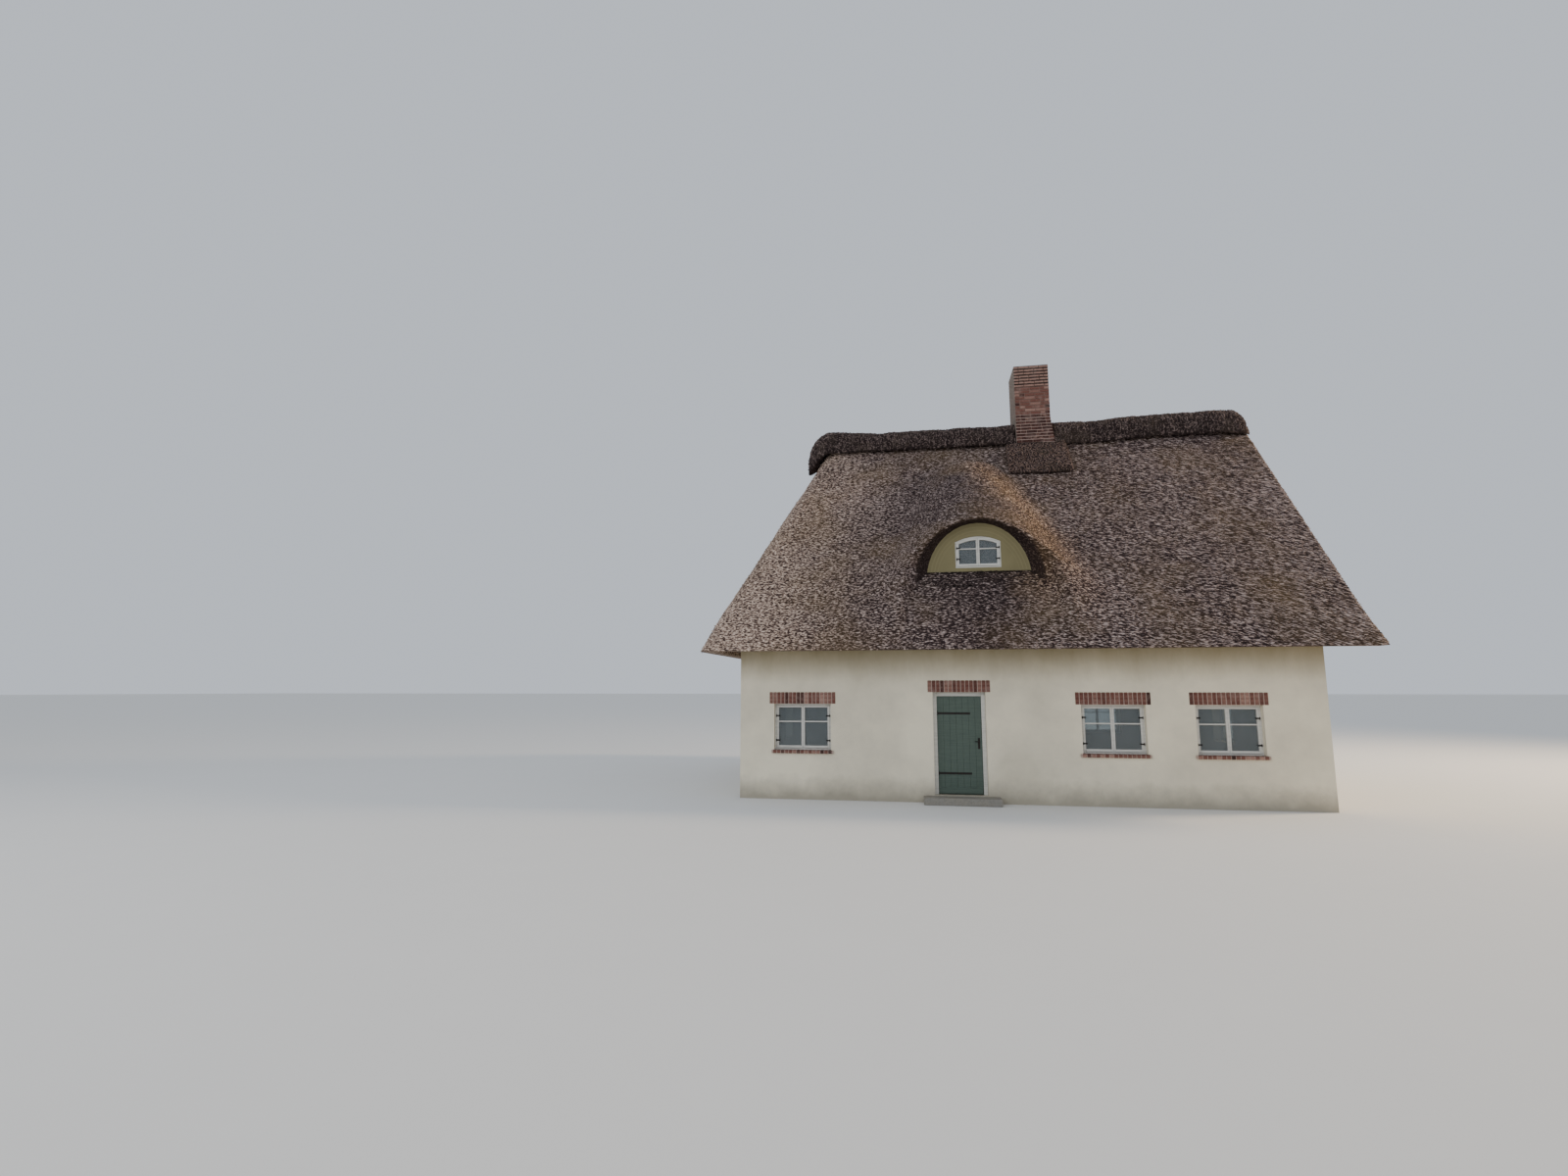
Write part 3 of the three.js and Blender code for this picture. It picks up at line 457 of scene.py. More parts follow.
def link_form(name, form, material):
    """An object made of a bmesh, with its faces turned outwards."""
    mesh = bpy.data.meshes.new(name)
    bmesh.ops.recalc_face_normals(form, faces=form.faces)
    form.to_mesh(mesh)
    form.free()
    return link_mesh(name, mesh, material)


def new_piece(name, points, faces, material):
    """An object at the origin made of points and faces, with its doubles merged."""
    form = bmesh.new()
    corners = [form.verts.new(tuple(p)) for p in points]
    for face in faces:
        form.faces.new([corners[i] for i in face])
    bmesh.ops.remove_doubles(form, verts=form.verts, dist=1e-5)
    return link_form(name, form, material)


def settle(made, slot, *nodes):
    """Gives a finished piece its body and hides the solids that it stands for; its slot is not used."""
    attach(made, "root")
    if nodes:
        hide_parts(*nodes)
    return made


def slab(top, under):
    """Points and faces of a closed skin between two grids of the same rows and columns."""
    rows, columns = top.shape[:2]
    count = rows * columns
    index = np.arange(count).reshape(rows, columns)
    corners = [index[:-1, :-1], index[:-1, 1:], index[1:, 1:], index[1:, :-1]]
    quads = np.stack(corners, -1).reshape(-1, 4)
    rim = np.concatenate([index[0, :-1], index[:-1, -1], index[-1, :0:-1], index[:0:-1, 0]])
    after = np.roll(rim, -1)
    sides = np.stack([after, rim, rim + count, after + count], -1)
    points = np.concatenate([top.reshape(-1, 3), under.reshape(-1, 3)])
    return points, np.concatenate([quads, quads[:, ::-1] + count, sides])


def box_skin(x, y, z):
    corners = list(product(x, y, z))
    faces = [(0, 1, 3, 2), (4, 6, 7, 5), (0, 4, 5, 1), (2, 3, 7, 6), (0, 2, 6, 4), (1, 5, 7, 3)]
    return corners, faces


def joined(parts):
    """Several lists of points and faces as one."""
    points, faces = [], []
    for some_points, some_faces in parts:
        start = len(points)
        points += list(some_points)
        faces += [[i + start for i in face] for face in some_faces]
    return points, faces


def made_plain(made):
    """Takes an object's modifiers into its mesh."""
    graph = bpy.context.evaluated_depsgraph_get()
    mesh = bpy.data.meshes.new_from_object(
        made.evaluated_get(graph), preserve_all_data_layers=True, depsgraph=graph)
    made.modifiers.clear()
    made.data = mesh
    return made


def cut(made, cutter):
    """Takes one closed skin out of another and leaves a plain mesh."""
    step = made.modifiers.new("Cut", "BOOLEAN")
    step.solver, step.operation, step.object = "MANIFOLD", "DIFFERENCE", cutter
    made_plain(made)
    bpy.data.objects.remove(cutter)
    return made


def add_box(form, x, y, z):
    """A box in a bmesh, between two values of each axis."""
    made = bmesh.ops.create_cube(form, size=1)["verts"]
    bmesh.ops.scale(form, vec=[abs(b - a) for a, b in (x, y, z)], verts=made)
    bmesh.ops.translate(form, vec=[(a + b) / 2 for a, b in (x, y, z)], verts=made)
    return made


def round_edges(form, width, segments=1):
    edges = list(form.edges)
    bmesh.ops.bevel(form, geom=edges, offset=width, segments=segments, affect="EDGES", profile=0.5)


def wall_frame(wall, along, z=0.0):
    """The matrix that takes a form facing the front to its place on the outside of a wall."""
    turn, outside = WALLS[wall]
    x, y = (outside, along) if wall in ("left", "gable") else (along, outside)
    return Matrix.Translation((x, y, z)) @ Matrix.Rotation(turn, 4, "Z")


def place_form(form, name, key, wall, along, z=0.0, back=0.0):
    """Sets a bmesh into its wall, as far back as stated, and makes it an object."""
    form.transform(wall_frame(wall, along, z) @ Matrix.Translation((0, back, 0)))
    return link_form(name, form, finish(key))


# Node trees

def add_node(tree, kind, inputs=None, **options):
    """A node with its options, each input linked to a socket or set to a plain value."""
    made = tree.nodes.new(kind)
    for key, value in options.items():
        setattr(made, key, value)
    for key, value in (inputs or {}).items():
        target = made.inputs[key]
        source = value.socket if isinstance(value, Value) else value
        if isinstance(source, bpy.types.NodeSocket):
            tree.links.new(source, target)
        else:
            target.default_value = (*source, 1.0) if target.type == "RGBA" else source
    return made


def outputs(tree, kind, inputs=None, **options):
    """The outputs of such a node."""
    return add_node(tree, kind, inputs, **options).outputs


def new_tree(name, **sockets):
    """A geometry node tree with one output; its named inputs and a maker of its nodes."""
    tree = bpy.data.node_groups.new(name, "GeometryNodeTree")
    for label, kind in sockets.items():
        tree.interface.new_socket(name=label, in_out="INPUT", socket_type="NodeSocket" + kind)
    tree.interface.new_socket(name="Geometry", in_out="OUTPUT", socket_type="NodeSocketGeometry")
    given = tree.nodes.new("NodeGroupInput").outputs
    return tree, given, partial(outputs, tree)


def end_tree(tree, given, instances):
    """Makes the instances real, gives them their material and hands them out."""
    solid = outputs(tree, "GeometryNodeRealizeInstances", {"Geometry": instances})
    dressed = outputs(tree, "GeometryNodeSetMaterial", {
        "Geometry": solid[0], "Material": given["Material"]})
    tree.links.new(dressed[0], tree.nodes.new("NodeGroupOutput").inputs[0])
    return tree


def run_tree(source, tree, name, **values):
    """A new plain mesh object, made by a node tree from a source object's mesh."""
    made = link_object(name, source.data)
    step = made.modifiers.new("Nodes", "NODES")
    step.node_group = tree
    for item in tree.interface.items_tree:
        key = item.name.lower()
        if item.in_out == "INPUT" and key in values:
            step[item.identifier] = values[key]
    return made_plain(made)


def clump_tree():
    """Small lens-shaped clumps scattered over the faces that look up."""
    tree, given, make = new_tree(
        "Clumps", Geometry="Geometry", Spacing="Float", Size="Vector", Wander="Float", Facing="Float",
        Widening="Float", Seed="Int", Material="Material")
    upward = make("ShaderNodeSeparateXYZ", {0: make("GeometryNodeInputNormal")[0]})[2]
    chosen = make("FunctionNodeCompare", {0: upward, 1: given["Facing"]}, operation="GREATER_THAN")
    spread = make("GeometryNodeDistributePointsOnFaces", {
        "Mesh": given["Geometry"], "Selection": chosen[0], "Distance Min": given["Spacing"],
        "Density Max": MOST_CLUMPS, "Seed": given["Seed"]}, distribute_method="POISSON")
    down = make("FunctionNodeAlignRotationToVector", {
        "Rotation": spread["Rotation"], "Vector": (0.0, 0.0, -1.0)}, axis="X", pivot_axis="Z")
    least = make("ShaderNodeMath", {0: given["Wander"], 1: -1.0}, operation="MULTIPLY")
    angle = make("FunctionNodeRandomValue", {
        2: least[0], 3: given["Wander"], 8: given["Seed"]}, data_type="FLOAT")
    turn = make("FunctionNodeAxisAngleToRotation", {"Axis": (0.0, 0.0, 1.0), "Angle": angle[1]})
    aim = make("FunctionNodeRotateRotation", {
        "Rotation": down[0], "Rotate By": turn[0]}, rotation_space="LOCAL")
    place = make("GeometryNodeInputPosition")[0]
    along, _, height = make("ShaderNodeSeparateXYZ", {0: place})
    wide = make("ShaderNodeMapRange", {
        "Value": along, "From Min": -HALF_LENGTH, "From Max": HALF_LENGTH, "To Min": 1.0,
        "To Max": given["Widening"]})
    stretch = make("ShaderNodeCombineXYZ", {0: 1.0, 1: wide[0], 2: 1.0})
    vary = make("FunctionNodeRandomValue", {
        0: CLUMP_LEAST, 1: CLUMP_MOST, 8: given["Seed"]}, data_type="FLOAT_VECTOR")
    size = make("ShaderNodeVectorMath", {0: given["Size"], 1: vary[0]}, operation="MULTIPLY")
    size = make("ShaderNodeVectorMath", {0: size[0], 1: stretch[0]}, operation="MULTIPLY")
    cone = make("GeometryNodeMeshCone", {
        "Vertices": 4, "Side Segments": 1, "Fill Segments": 1, "Radius Top": 0.0, "Radius Bottom": 0.5,
        "Depth": 1.0}, fill_type="NGON")
    tip = make("FunctionNodeCompare", {0: height, 1: 0.5}, operation="GREATER_THAN")
    lens = make("GeometryNodeSetPosition", {
        "Geometry": cone["Mesh"], "Selection": tip[0], "Offset": CLUMP_TIP})
    sunk = make("GeometryNodeTransform", {"Geometry": lens[0], "Translation": CLUMP_SUNK})
    copies = make("GeometryNodeInstanceOnPoints", {
        "Points": spread["Points"], "Instance": sunk[0], "Rotation": aim[0], "Scale": size[0]})
    tone = make("FunctionNodeRandomValue", {8: 3}, data_type="FLOAT")
    named = make("GeometryNodeStoreNamedAttribute", {
        "Geometry": copies[0], "Name": "tone", "Value": tone[1]}, data_type="FLOAT", domain="INSTANCE")
    return end_tree(tree, given, named[0])


def brick_tree():
    """One rounded brick on each point, with the point's own size, turn and tone."""
    tree, given, make = new_tree("Bricks", Geometry="Geometry", Brick="Object", Material="Material")
    shape = make("GeometryNodeObjectInfo", {"Object": given["Brick"]})
    size = make("GeometryNodeInputNamedAttribute", {"Name": "size"}, data_type="FLOAT_VECTOR")
    turn = make("GeometryNodeInputNamedAttribute", {"Name": "turn"}, data_type="FLOAT_VECTOR")
    aim = make("FunctionNodeEulerToRotation", {0: turn[0]})
    points = make("GeometryNodeMeshToPoints", {"Mesh": given["Geometry"]})
    copies = make("GeometryNodeInstanceOnPoints", {
        "Points": points[0], "Instance": shape["Geometry"], "Rotation": aim[0], "Scale": size[0]})
    return end_tree(tree, given, copies[0])


# Materials

class Value:
    """A number in a material, with which plain sums can be written."""

    def __init__(self, tree, socket):
        self.tree = tree
        self.socket = socket

    def calc(self, operation, *values):
        inputs = dict(enumerate(values))
        return Value(self.tree, outputs(self.tree, "ShaderNodeMath", inputs, operation=operation)[0])

    def __add__(self, other):
        return self.calc("ADD", self, other)

    def __sub__(self, other):
        return self.calc("SUBTRACT", self, other)

    def __rsub__(self, other):
        return self.calc("SUBTRACT", other, self)

    def __mul__(self, other):
        return self.calc("MULTIPLY", self, other)

    def __truediv__(self, other):
        return self.calc("DIVIDE", self, other)

    def __abs__(self):
        return self.calc("ABSOLUTE", self)

    def off_middle(self):
        """Distance from the middle between two whole numbers."""
        return abs(self.calc("FRACT", self) - 0.5)

    def between(self, low, high, to_low=0.0, to_high=1.0):
        """The value taken from one range to another, held at its ends."""
        inputs = {"Value": self, "From Min": low, "From Max": high, "To Min": to_low, "To Max": to_high}
        return Value(self.tree, outputs(self.tree, "ShaderNodeMapRange", inputs)[0])


class Surface:
    """A procedural material in the making, on the object's own coordinates."""

    def __init__(self, name, roughness, specular, tint=None):
        self.material = bpy.data.materials.new(name)
        self.material.use_nodes = True
        self.tree = self.material.node_tree
        self.shader = self.tree.nodes["Principled BSDF"]
        self.set("Roughness", roughness)
        self.set("Specular IOR Level", specular)
        self.place = outputs(self.tree, "ShaderNodeTexCoord")["Object"]
        self.tint = tint

    def set(self, name, value):
        self.shader.inputs[name].default_value = value

    def axes(self):
        sockets = outputs(self.tree, "ShaderNodeSeparateXYZ", {0: self.place})
        return [Value(self.tree, socket) for socket in sockets]

    def tone(self):
        """The random number that a clump or a brick carries."""
        return Value(self.tree, outputs(self.tree, "ShaderNodeAttribute", attribute_name="tone")["Fac"])

    def grain(self, scale, stretch=(1.0, 1.0, 1.0), detail=4.0, place=None):
        """Noise from 0 to 1, at the object's coordinates if no other place is given."""
        place = self.place if place is None else place
        mapping = outputs(self.tree, "ShaderNodeMapping", {"Vector": place, "Scale": stretch})
        noise = outputs(self.tree, "ShaderNodeTexNoise", {
            "Vector": mapping[0], "Scale": scale, "Detail": detail, "Roughness": 0.6})
        return Value(self.tree, noise[0])

    def ramp(self, factor, *stops):
        """Begins with colours at positions from 0 to 1."""
        made = add_node(self.tree, "ShaderNodeValToRGB", {"Fac": factor})
        elements = made.color_ramp.elements
        while len(elements) < len(stops):
            elements.new(0.5)
        for element, (position, tint) in zip(elements, stops):
            element.position = position
            element.color = (*tint, 1.0)
        self.tint = made.outputs[0]

    def over(self, factor, tint, mode="MIX"):
        """Lays a colour over what is there."""
        inputs = {0: factor, 6: self.tint, 7: tint}
        self.tint = outputs(self.tree, "ShaderNodeMix", inputs, data_type="RGBA", blend_type=mode)[2]

    def done(self, height, distance, strength=0.6):
        """The material, with its colour and a bump."""
        inputs = {"Height": height, "Distance": distance, "Strength": strength}
        bump = outputs(self.tree, "ShaderNodeBump", inputs)
        self.tree.links.new(self.tint, self.shader.inputs["Base Color"])
        self.tree.links.new(bump[0], self.shader.inputs["Normal"])
        return self.material

    def arch_distance(self, arch):
        """Distance from the middle of the dormer's arch, 1 on its outline."""
        half, crown = arch
        x, _, z = self.axes()
        x = (x - DORMER_X) / half
        z = (z - ARCH_SPRING_Z) / (crown - ARCH_SPRING_Z)
        return x.calc("SQRT", x * x + z * z)


# Reed strokes lie level at the left and lean at the right
STROKE_DRAW = (0.98, 0.72)
STROKES_LEVEL_X = -2.0
STROKE_SLANT = 0.26

# The reed is paler towards the left end, and painted sunlight with some moss warms the eyebrow's right
# flank
PALE_X = (-2.4, -5.0)
PALER_LEFT_X = (-2.1, -4.7)
PALER_LEFT_TINT = (1.46, 1.41, 1.23)
CREST_Y, CREST_X = (-1.2, -2.9), (-0.45, 0.85)
# Where painted sunlight with some moss lies on the eyebrow's right flank, and its tint
PAINTED_SUN_TOP_Y, PAINTED_SUN_LOW_Y = (-0.9, -1.6), (-4.5, -3.7)
PAINTED_SUN_MOSS_TINT = (1.36, 1.21, 0.9)
# Painted shade, partly damp, left of the eyebrow's crest, and its tint
PAINTED_SHADE_ASIDE = 1.15
PAINTED_SHADE_DAMP_TINT = (0.62, 0.6, 0.62)
# Painted shade in the eyebrow's mouth under its lip, kept to the front slope
MOUTH_SHADE_Y, FRONT_Y = (-3.86, -3.76), (0.0, -0.5)


def reed_material(name, shade):
    """Weathered reed; shade moves the whole between dark and pale."""
    reed = settings("reed")
    surface = Surface(name, 0.95, 0.15)
    across, along, up = surface.axes()
    drawn_out = across * across.between(-HALF_LENGTH, HALF_LENGTH, *STROKE_DRAW)
    slant = across * across.between(STROKES_LEVEL_X, HALF_LENGTH, 0.0, STROKE_SLANT)
    strokes = outputs(surface.tree, "ShaderNodeCombineXYZ", {0: drawn_out, 1: along + slant, 2: up + slant})
    fine = surface.grain(18.0, (0.8, 2.1, 2.1), 2.0, strokes[0])
    value = surface.tone() * 0.22 + fine * 3.0 - 1.12
    value += surface.grain(0.55, detail=3.0).between(0.3, 0.7, shade - 0.08, shade + 0.06)
    value += across.between(*PALE_X, 0.0, 0.2)
    surface.ramp(value, (0.24, reed.dark), (0.5, reed.middle), (0.84, reed.pale))
    # Paler towards the left end
    surface.over(across.between(*PALER_LEFT_X), PALER_LEFT_TINT, "MULTIPLY")
    surface.over(surface.grain(0.7, detail=3.0).between(0.46, 0.72, 0.0, 0.32), reed.warm)
    aside = across - along.between(*CREST_Y, *CREST_X)
    reach = along.between(*PAINTED_SUN_TOP_Y)
    # Painted sunlight, with some moss, on the eyebrow's right flank
    painted_sun_moss = abs(aside).between(0.95, 0.1) * reach * along.between(*PAINTED_SUN_LOW_Y, 0.0, 0.75)
    surface.over(painted_sun_moss, PAINTED_SUN_MOSS_TINT, "MULTIPLY")
    # Painted shade, partly damp, on the left of the crest
    surface.over(abs(aside + PAINTED_SHADE_ASIDE).between(0.8, 0.15, 0.0, 0.55) * reach, PAINTED_SHADE_DAMP_TINT, "MULTIPLY")
    if shade < 0:
        # Painted shade in the eyebrow's mouth, under the lip of the reed
        painted_mouth_shade = surface.arch_distance(MOUTH_ARCH).between(1.03, 0.98, 0.0, 0.8)
        painted_mouth_shade = painted_mouth_shade * along.between(*MOUTH_SHADE_Y) * along.between(*FRONT_Y)
        surface.over(painted_mouth_shade, shaded(reed.dark, 0.7))
    return surface.done(fine, 0.02, 0.8)


def heather_material(name, shade, younger=0.0, stretch=(1.8, 1.0, 1.0)):
    """Heather; shade makes the whole paler, younger makes it browner."""
    heather = settings("heather")
    surface = Surface(name, 0.95, 0.1)
    fine = surface.grain(11.0, stretch)
    value = surface.tone() * 0.3 + fine * 1.7 + (shade - 0.5)
    surface.ramp(value, (0.2, heather.dark), (0.95, heather.pale))
    surface.over(surface.grain(1.6, detail=3.0).between(0.5, 0.7, 0.0, 0.45), heather.moss)
    surface.over(younger, heather.brown)
    return surface.done(fine, 0.025, 0.9)


def stack_bands(surface):
    """How far a point lies in the top courses, in the oldest ones, on a bed joint and outdoors."""
    brick = settings("brick")
    up = surface.axes()[2]
    height = up + surface.grain(4.0) * 0.12
    bed = (CHIMNEY_TOP - BEDDING + brick.joint / 2 - up) / (brick.high + brick.joint)
    outdoors = up.between(INDOOR_Z, INDOOR_Z + 0.1)
    return height.between(*TOP_BAND_Z), height.between(*OLD_BAND_Z), bed.off_middle() * 2.0, outdoors


def brick_material():
    brick = settings("brick")
    surface = Surface("Brick", 0.85, 0.25)
    surface.ramp(surface.tone(), (0.0, brick.dark), (0.2, brick.red), (0.7, brick.red), (1.0, brick.pale))
    top, old, bed, outdoors = stack_bands(surface)
    broken = surface.grain(8.0, (1.0, 1.0, 2.5)).between(0.38, 0.5, 0.3, 1.0)
    surface.over(top * 0.95, brick.pale)
    # Painted shade along the bed joints darkens the upper and lower edges of the bricks; in the top courses
    # soot and painted shade darken them more
    surface.over(bed.between(0.5, 0.7) * broken * 0.35, brick.dark)
    surface.over(top * bed.between(0.38, 0.54) * broken * 0.97, brick.soot_and_shade)
    surface.over(old * outdoors * bed.between(0.82, 0.52) * broken, brick.dark)
    fine = surface.grain(45.0, detail=5.0)
    surface.over(fine.between(0.35, 0.7, 0.0, 0.35), brick.dark)
    surface.over(surface.grain(7.0, detail=3.0).between(0.5, 0.75, 0.0, 0.3), brick.mortar)
    # Greyer over the outdoor part of the left face
    left = surface.axes()[0].between(CHIMNEY_LEFT + 0.012, CHIMNEY_LEFT + 0.004)
    surface.over(left * outdoors * 0.75, brick.left_face_grey)
    return surface.done(fine, 0.004)


def mortar_material():
    brick = settings("brick")
    surface = Surface("Lime mortar", 0.95, 0.1, brick.smeared)
    fine = surface.grain(60.0)
    top, old, bed, outdoors = stack_bands(surface)
    bed = bed.calc("MAXIMUM", bed.between(0.6, 0.85), 1.0 - outdoors)
    surface.over(old * bed, brick.mortar)
    surface.over(top * bed.between(0.0, 1.0, 0.5, 1.0), brick.soot_and_shade)
    surface.over(fine.between(0.45, 0.75, 0.0, 0.25), brick.soot_and_shade)
    return surface.done(fine, 0.004)


def render_material():
    wall = settings("wall")
    surface = Surface("Lime render", 0.92, 0.15, wall.render)
    x, y, z = surface.axes()
    surface.over(surface.grain(0.8).between(0.35, 0.7, 0.0, 0.35), wall.foot)
    surface.over((z + surface.grain(2.2) * 0.5).between(0.75, 0.3, 0.0, 0.8), wall.foot)
    hip_eave_z = 3.5
    roof = abs(y) * -MAIN_SLOPE + (APEX_Z - MAIN_DROP)
    roof = x.between(WALL_LEFT + 0.05, WALL_LEFT + 0.15, hip_eave_z, roof)
    # Darker and browner, in streaks, below the underside of the roof
    streaks = surface.grain(3.0, (1.0, 1.0, 0.3)) * 0.35
    surface.over((roof - (z + streaks)).between(0.95, 0.15, 0.0, 0.85), wall.under_eave_tint)
    return surface.done(surface.grain(38.0, detail=6.0), 0.008, 0.7)


def board_material(name, kind, key, groove=0.0, axis=0):
    """Painted or bare wood; groove is the width of its boards, if any."""
    base = getattr(settings(kind), key)
    surface = Surface(name, 0.6, 0.35, base)
    height = surface.grain(3.0, (14.0, 14.0, 1.0) if groove else (1.0, 14.0, 14.0), 5.0)
    surface.over(height.between(0.4, 0.75, 0.0, 0.5), shaded(base, 0.55))
    if groove:
        line = (surface.axes()[axis] / groove).off_middle().between(0.44, 0.49)
        surface.over(line * 0.6, shaded(base, 0.25))
        height = height - line * 2.0
    return surface.done(height, 0.003)


def panel_material():
    """Painted board with faint brush lines that follow its arched edge."""
    panel = settings("wall").panel
    surface = Surface("Panel paint", 0.75, 0.25, panel)
    broad = surface.grain(2.2)
    surface.over(broad.between(0.35, 0.7, 0.0, 0.4), shaded(panel, 0.72))
    out = surface.arch_distance(PANEL_ARCH) + broad * 0.03
    line = (out * 16.0).off_middle().between(0.3, 0.48) * out.between(0.74, 0.86, 0.0, 0.22)
    surface.over(line, shaded(panel, 1.6))
    return surface.done(surface.grain(40.0) + line, 0.002, 0.4)


def stone_material():
    wall = settings("wall")
    surface = Surface("Stone", 0.9, 0.2, wall.stone)
    fine = surface.grain(30.0, detail=6.0)
    surface.over(surface.grain(4.0).between(0.35, 0.7, 0.0, 0.6), wall.foot)
    surface.over(fine.between(0.45, 0.7, 0.0, 0.4), shaded(wall.stone, 0.4))
    return surface.done(fine, 0.01)


def iron_material():
    joinery = settings("joinery")
    surface = Surface("Wrought iron", 0.55, 0.5, joinery.iron)
    surface.set("Metallic", 0.7)
    fine = surface.grain(60.0)
    surface.over(fine.between(0.45, 0.7, 0.0, 0.5), joinery.rust)
    return surface.done(fine, 0.002)


def glass_material():
    glass = settings("joinery").glass
    surface = Surface("Window glass", 0.03, 0.5, glass)
    surface.set("Transmission Weight", 0.85)
    surface.set("IOR", 1.45)
    wave = surface.grain(2.5, detail=1.0)
    surface.over(wave, shaded(glass, 0.85))
    return surface.done(wave, 0.003, 0.3)


def floor_material():
    pale = settings("stage").floor
    surface = Surface("Pale floor", 0.9, 0.1, pale)
    fine = surface.grain(1.2)
    surface.over(fine, shaded(pale, 0.97))
    return surface.done(fine, 0.002, 0.1)


MATERIAL_MAKERS = {
    "reed": partial(reed_material, "Reed", 0.0),
    "reed_bed": partial(reed_material, "Reed bed", -0.12),
    "heather": partial(heather_material, "Heather sprigs", 0.06),
    "apron": partial(heather_material, "Apron sprigs", 0.24, 0.4, (0.6, 1.9, 1.9)),
    "heather_bed": partial(heather_material, "Heather bed", -0.15),
    "brick": brick_material,
    "mortar": mortar_material,
    "render": render_material,
    "panel": panel_material,
    "timber": partial(board_material, "Bare timber", "wall", "timber"),
    "floorboards": partial(board_material, "Floorboards", "wall", "timber", 0.18, 1),
    "white": partial(board_material, "White paint", "joinery", "white"),
    "green": partial(board_material, "Green paint", "joinery", "green"),
    "stone": stone_material,
    "iron": iron_material,
    "glass": glass_material,
    "floor": floor_material,
}


@cache
def finish(key):
    """A material by its short name, made when it is first asked for."""
    return MATERIAL_MAKERS[key]()


# Reed

def lifted(points):
    """Points of the reed's outer face moved along its normal by the coat's unevenness."""
    reed = settings("reed")
    x, y = points[:, 0], points[:, 1]
    nudge = 0.02

    def shape(a, b):
        return rounded_roof(a, b) + eyebrow(a, np.maximum(b, MOUTH_Y))

    lean_x = (shape(x + nudge, y) - shape(x - nudge, y)) / (2 * nudge)
    lean_y = (shape(x, y + nudge) - shape(x, y - nudge)) / (2 * nudge)
    normal = np.stack([-lean_x, -lean_y, np.ones(len(points))], 1)
    normal /= np.linalg.norm(normal, axis=1)[:, None]
    rise = reed.sway * lumps(points, SWAY_SIZE, 1) + reed.lump * lumps(points, LUMP_SIZE, 2)
    fade = smooth_step(VERGE_X - x, 0.0, CALM_VERGE) * (1 - CALM_SHARE) + CALM_SHARE
    return points + normal * (rise * fade)[:, None]


def drooping(points, fall):
    """Flares the coat's lowest part at the verge and lets it hang lower by the stated fall."""
    hang = smooth_step(EAVE_Z + HANGING - points[..., 2], 0.0, HANGING) ** 2
    moved = points.copy()
    moved[..., 0] += FLARE * hang * smooth_step(points[..., 0], VERGE_X - FLARE_RUN, VERGE_X)
    moved[..., 2] -= fall * hang
    return moved


def coat(x, y):
    """Outer and inner grid of a coat of reed over a grid in plan; only the outer one droops."""
    top = np.stack([x, y, slope_top(x, y) + flank(x, y)], -1)
    top = lifted(top.reshape(-1, 3)).reshape(top.shape)
    under = np.stack([x, y, slope_under(x, y)], -1)
    return drooping(top, DROOP), drooping(under, 0.0)


def slope_columns(y, grid):
    """X of each column of a long slope at one distance from the ridge."""
    near_hip = mitre_x(y) + np.array(HIP_COLUMNS)
    bridge = near_hip[-1] + (BRIDGE_END_X - near_hip[-1]) * np.arange(1, BRIDGE_STEPS) / BRIDGE_STEPS
    edges = [DORMER_X + side * (MOUTH_ARCH[0] + step) for side in (-1, 1) for step in (0, MOUTH_SIDE)]
    middle = np.arange(BRIDGE_END_X, VERGE_X - VERGE_COLUMNS[0] - MOUTH_SIDE, grid)
    middle = [m for m in middle if min(abs(m - e) for e in edges) > CLEAR_OF_LINE]
    return np.concatenate([near_hip, bridge, np.sort(middle + edges), VERGE_X - np.array(VERGE_COLUMNS)])


def slope_grids(side):
    """The coat of a long slope, from the ridge to past the eave."""
    grid = settings("reed").grid
    rows = np.arange(SKIN, BELOW_EAVE, grid * ROW_RATIO)
    if side < 0:
        rows = rows[np.abs(rows + MOUTH_Y) > CLEAR_OF_LINE]
        rows = np.sort(np.concatenate([rows, [-MOUTH_Y, MOUTH_LIP - MOUTH_Y]]))
    x = np.array([slope_columns(row, grid) for row in rows])
    return coat(x, np.broadcast_to(side * rows[:, None], x.shape))


def hip_grids():
    """The coat of the hip, with close columns at both mitres."""
    low_x, top_x = mitre_x(BELOW_EAVE), mitre_x(HIP_TOP_Y)
    steps = int((top_x - low_x) / (settings("reed").grid * HIP_ROW_RATIO))
    x = np.linspace(low_x, top_x, steps + 1)[:, None]
    half = np.concatenate([np.linspace(0, 0.9, 36), np.linspace(0.91, 1, 10)])
    across = np.concatenate([-half[:0:-1], half])
    y = across * ((RIDGE_LEFT_X - x - SKIN) / PLAN_SLOPE)
    return coat(np.broadcast_to(x, y.shape), y)


def opening_skin():
    """The space under the eyebrow, which narrows from the lip of the reed to the panel."""
    angle = np.linspace(0, np.pi, 49)
    behind = [-3.4, -3.3, -3.2, TUNNEL_Y]
    ys = [MOUTH_Y - 0.03, MOUTH_Y, -3.7, -3.65, -3.6, -3.55, PANEL_Y - 0.002, PANEL_Y, *behind]
    top, under = [], []
    for y in ys:
        inward = min(max((y - MOUTH_Y) / (PANEL_Y - MOUTH_Y), 0), 1)
        half, crown = (a + (b - a) * inward for a, b in zip(MOUTH_ARCH, PANEL_ARCH))
        x = DORMER_X - half * np.cos(angle)
        z = ARCH_SPRING_Z + (crown - ARCH_SPRING_Z) * np.sin(angle)
        foot = np.full_like(x, main_z(y) + MOUTH_LEDGE if y < PANEL_Y else ARCH_FOOT_Z)
        top.append(np.stack([x, np.full_like(x, y), np.maximum(z, foot + 0.001)], -1))
        under.append(np.stack([x, np.full_like(x, y), foot], -1))
    return slab(np.array(top), np.array(under))


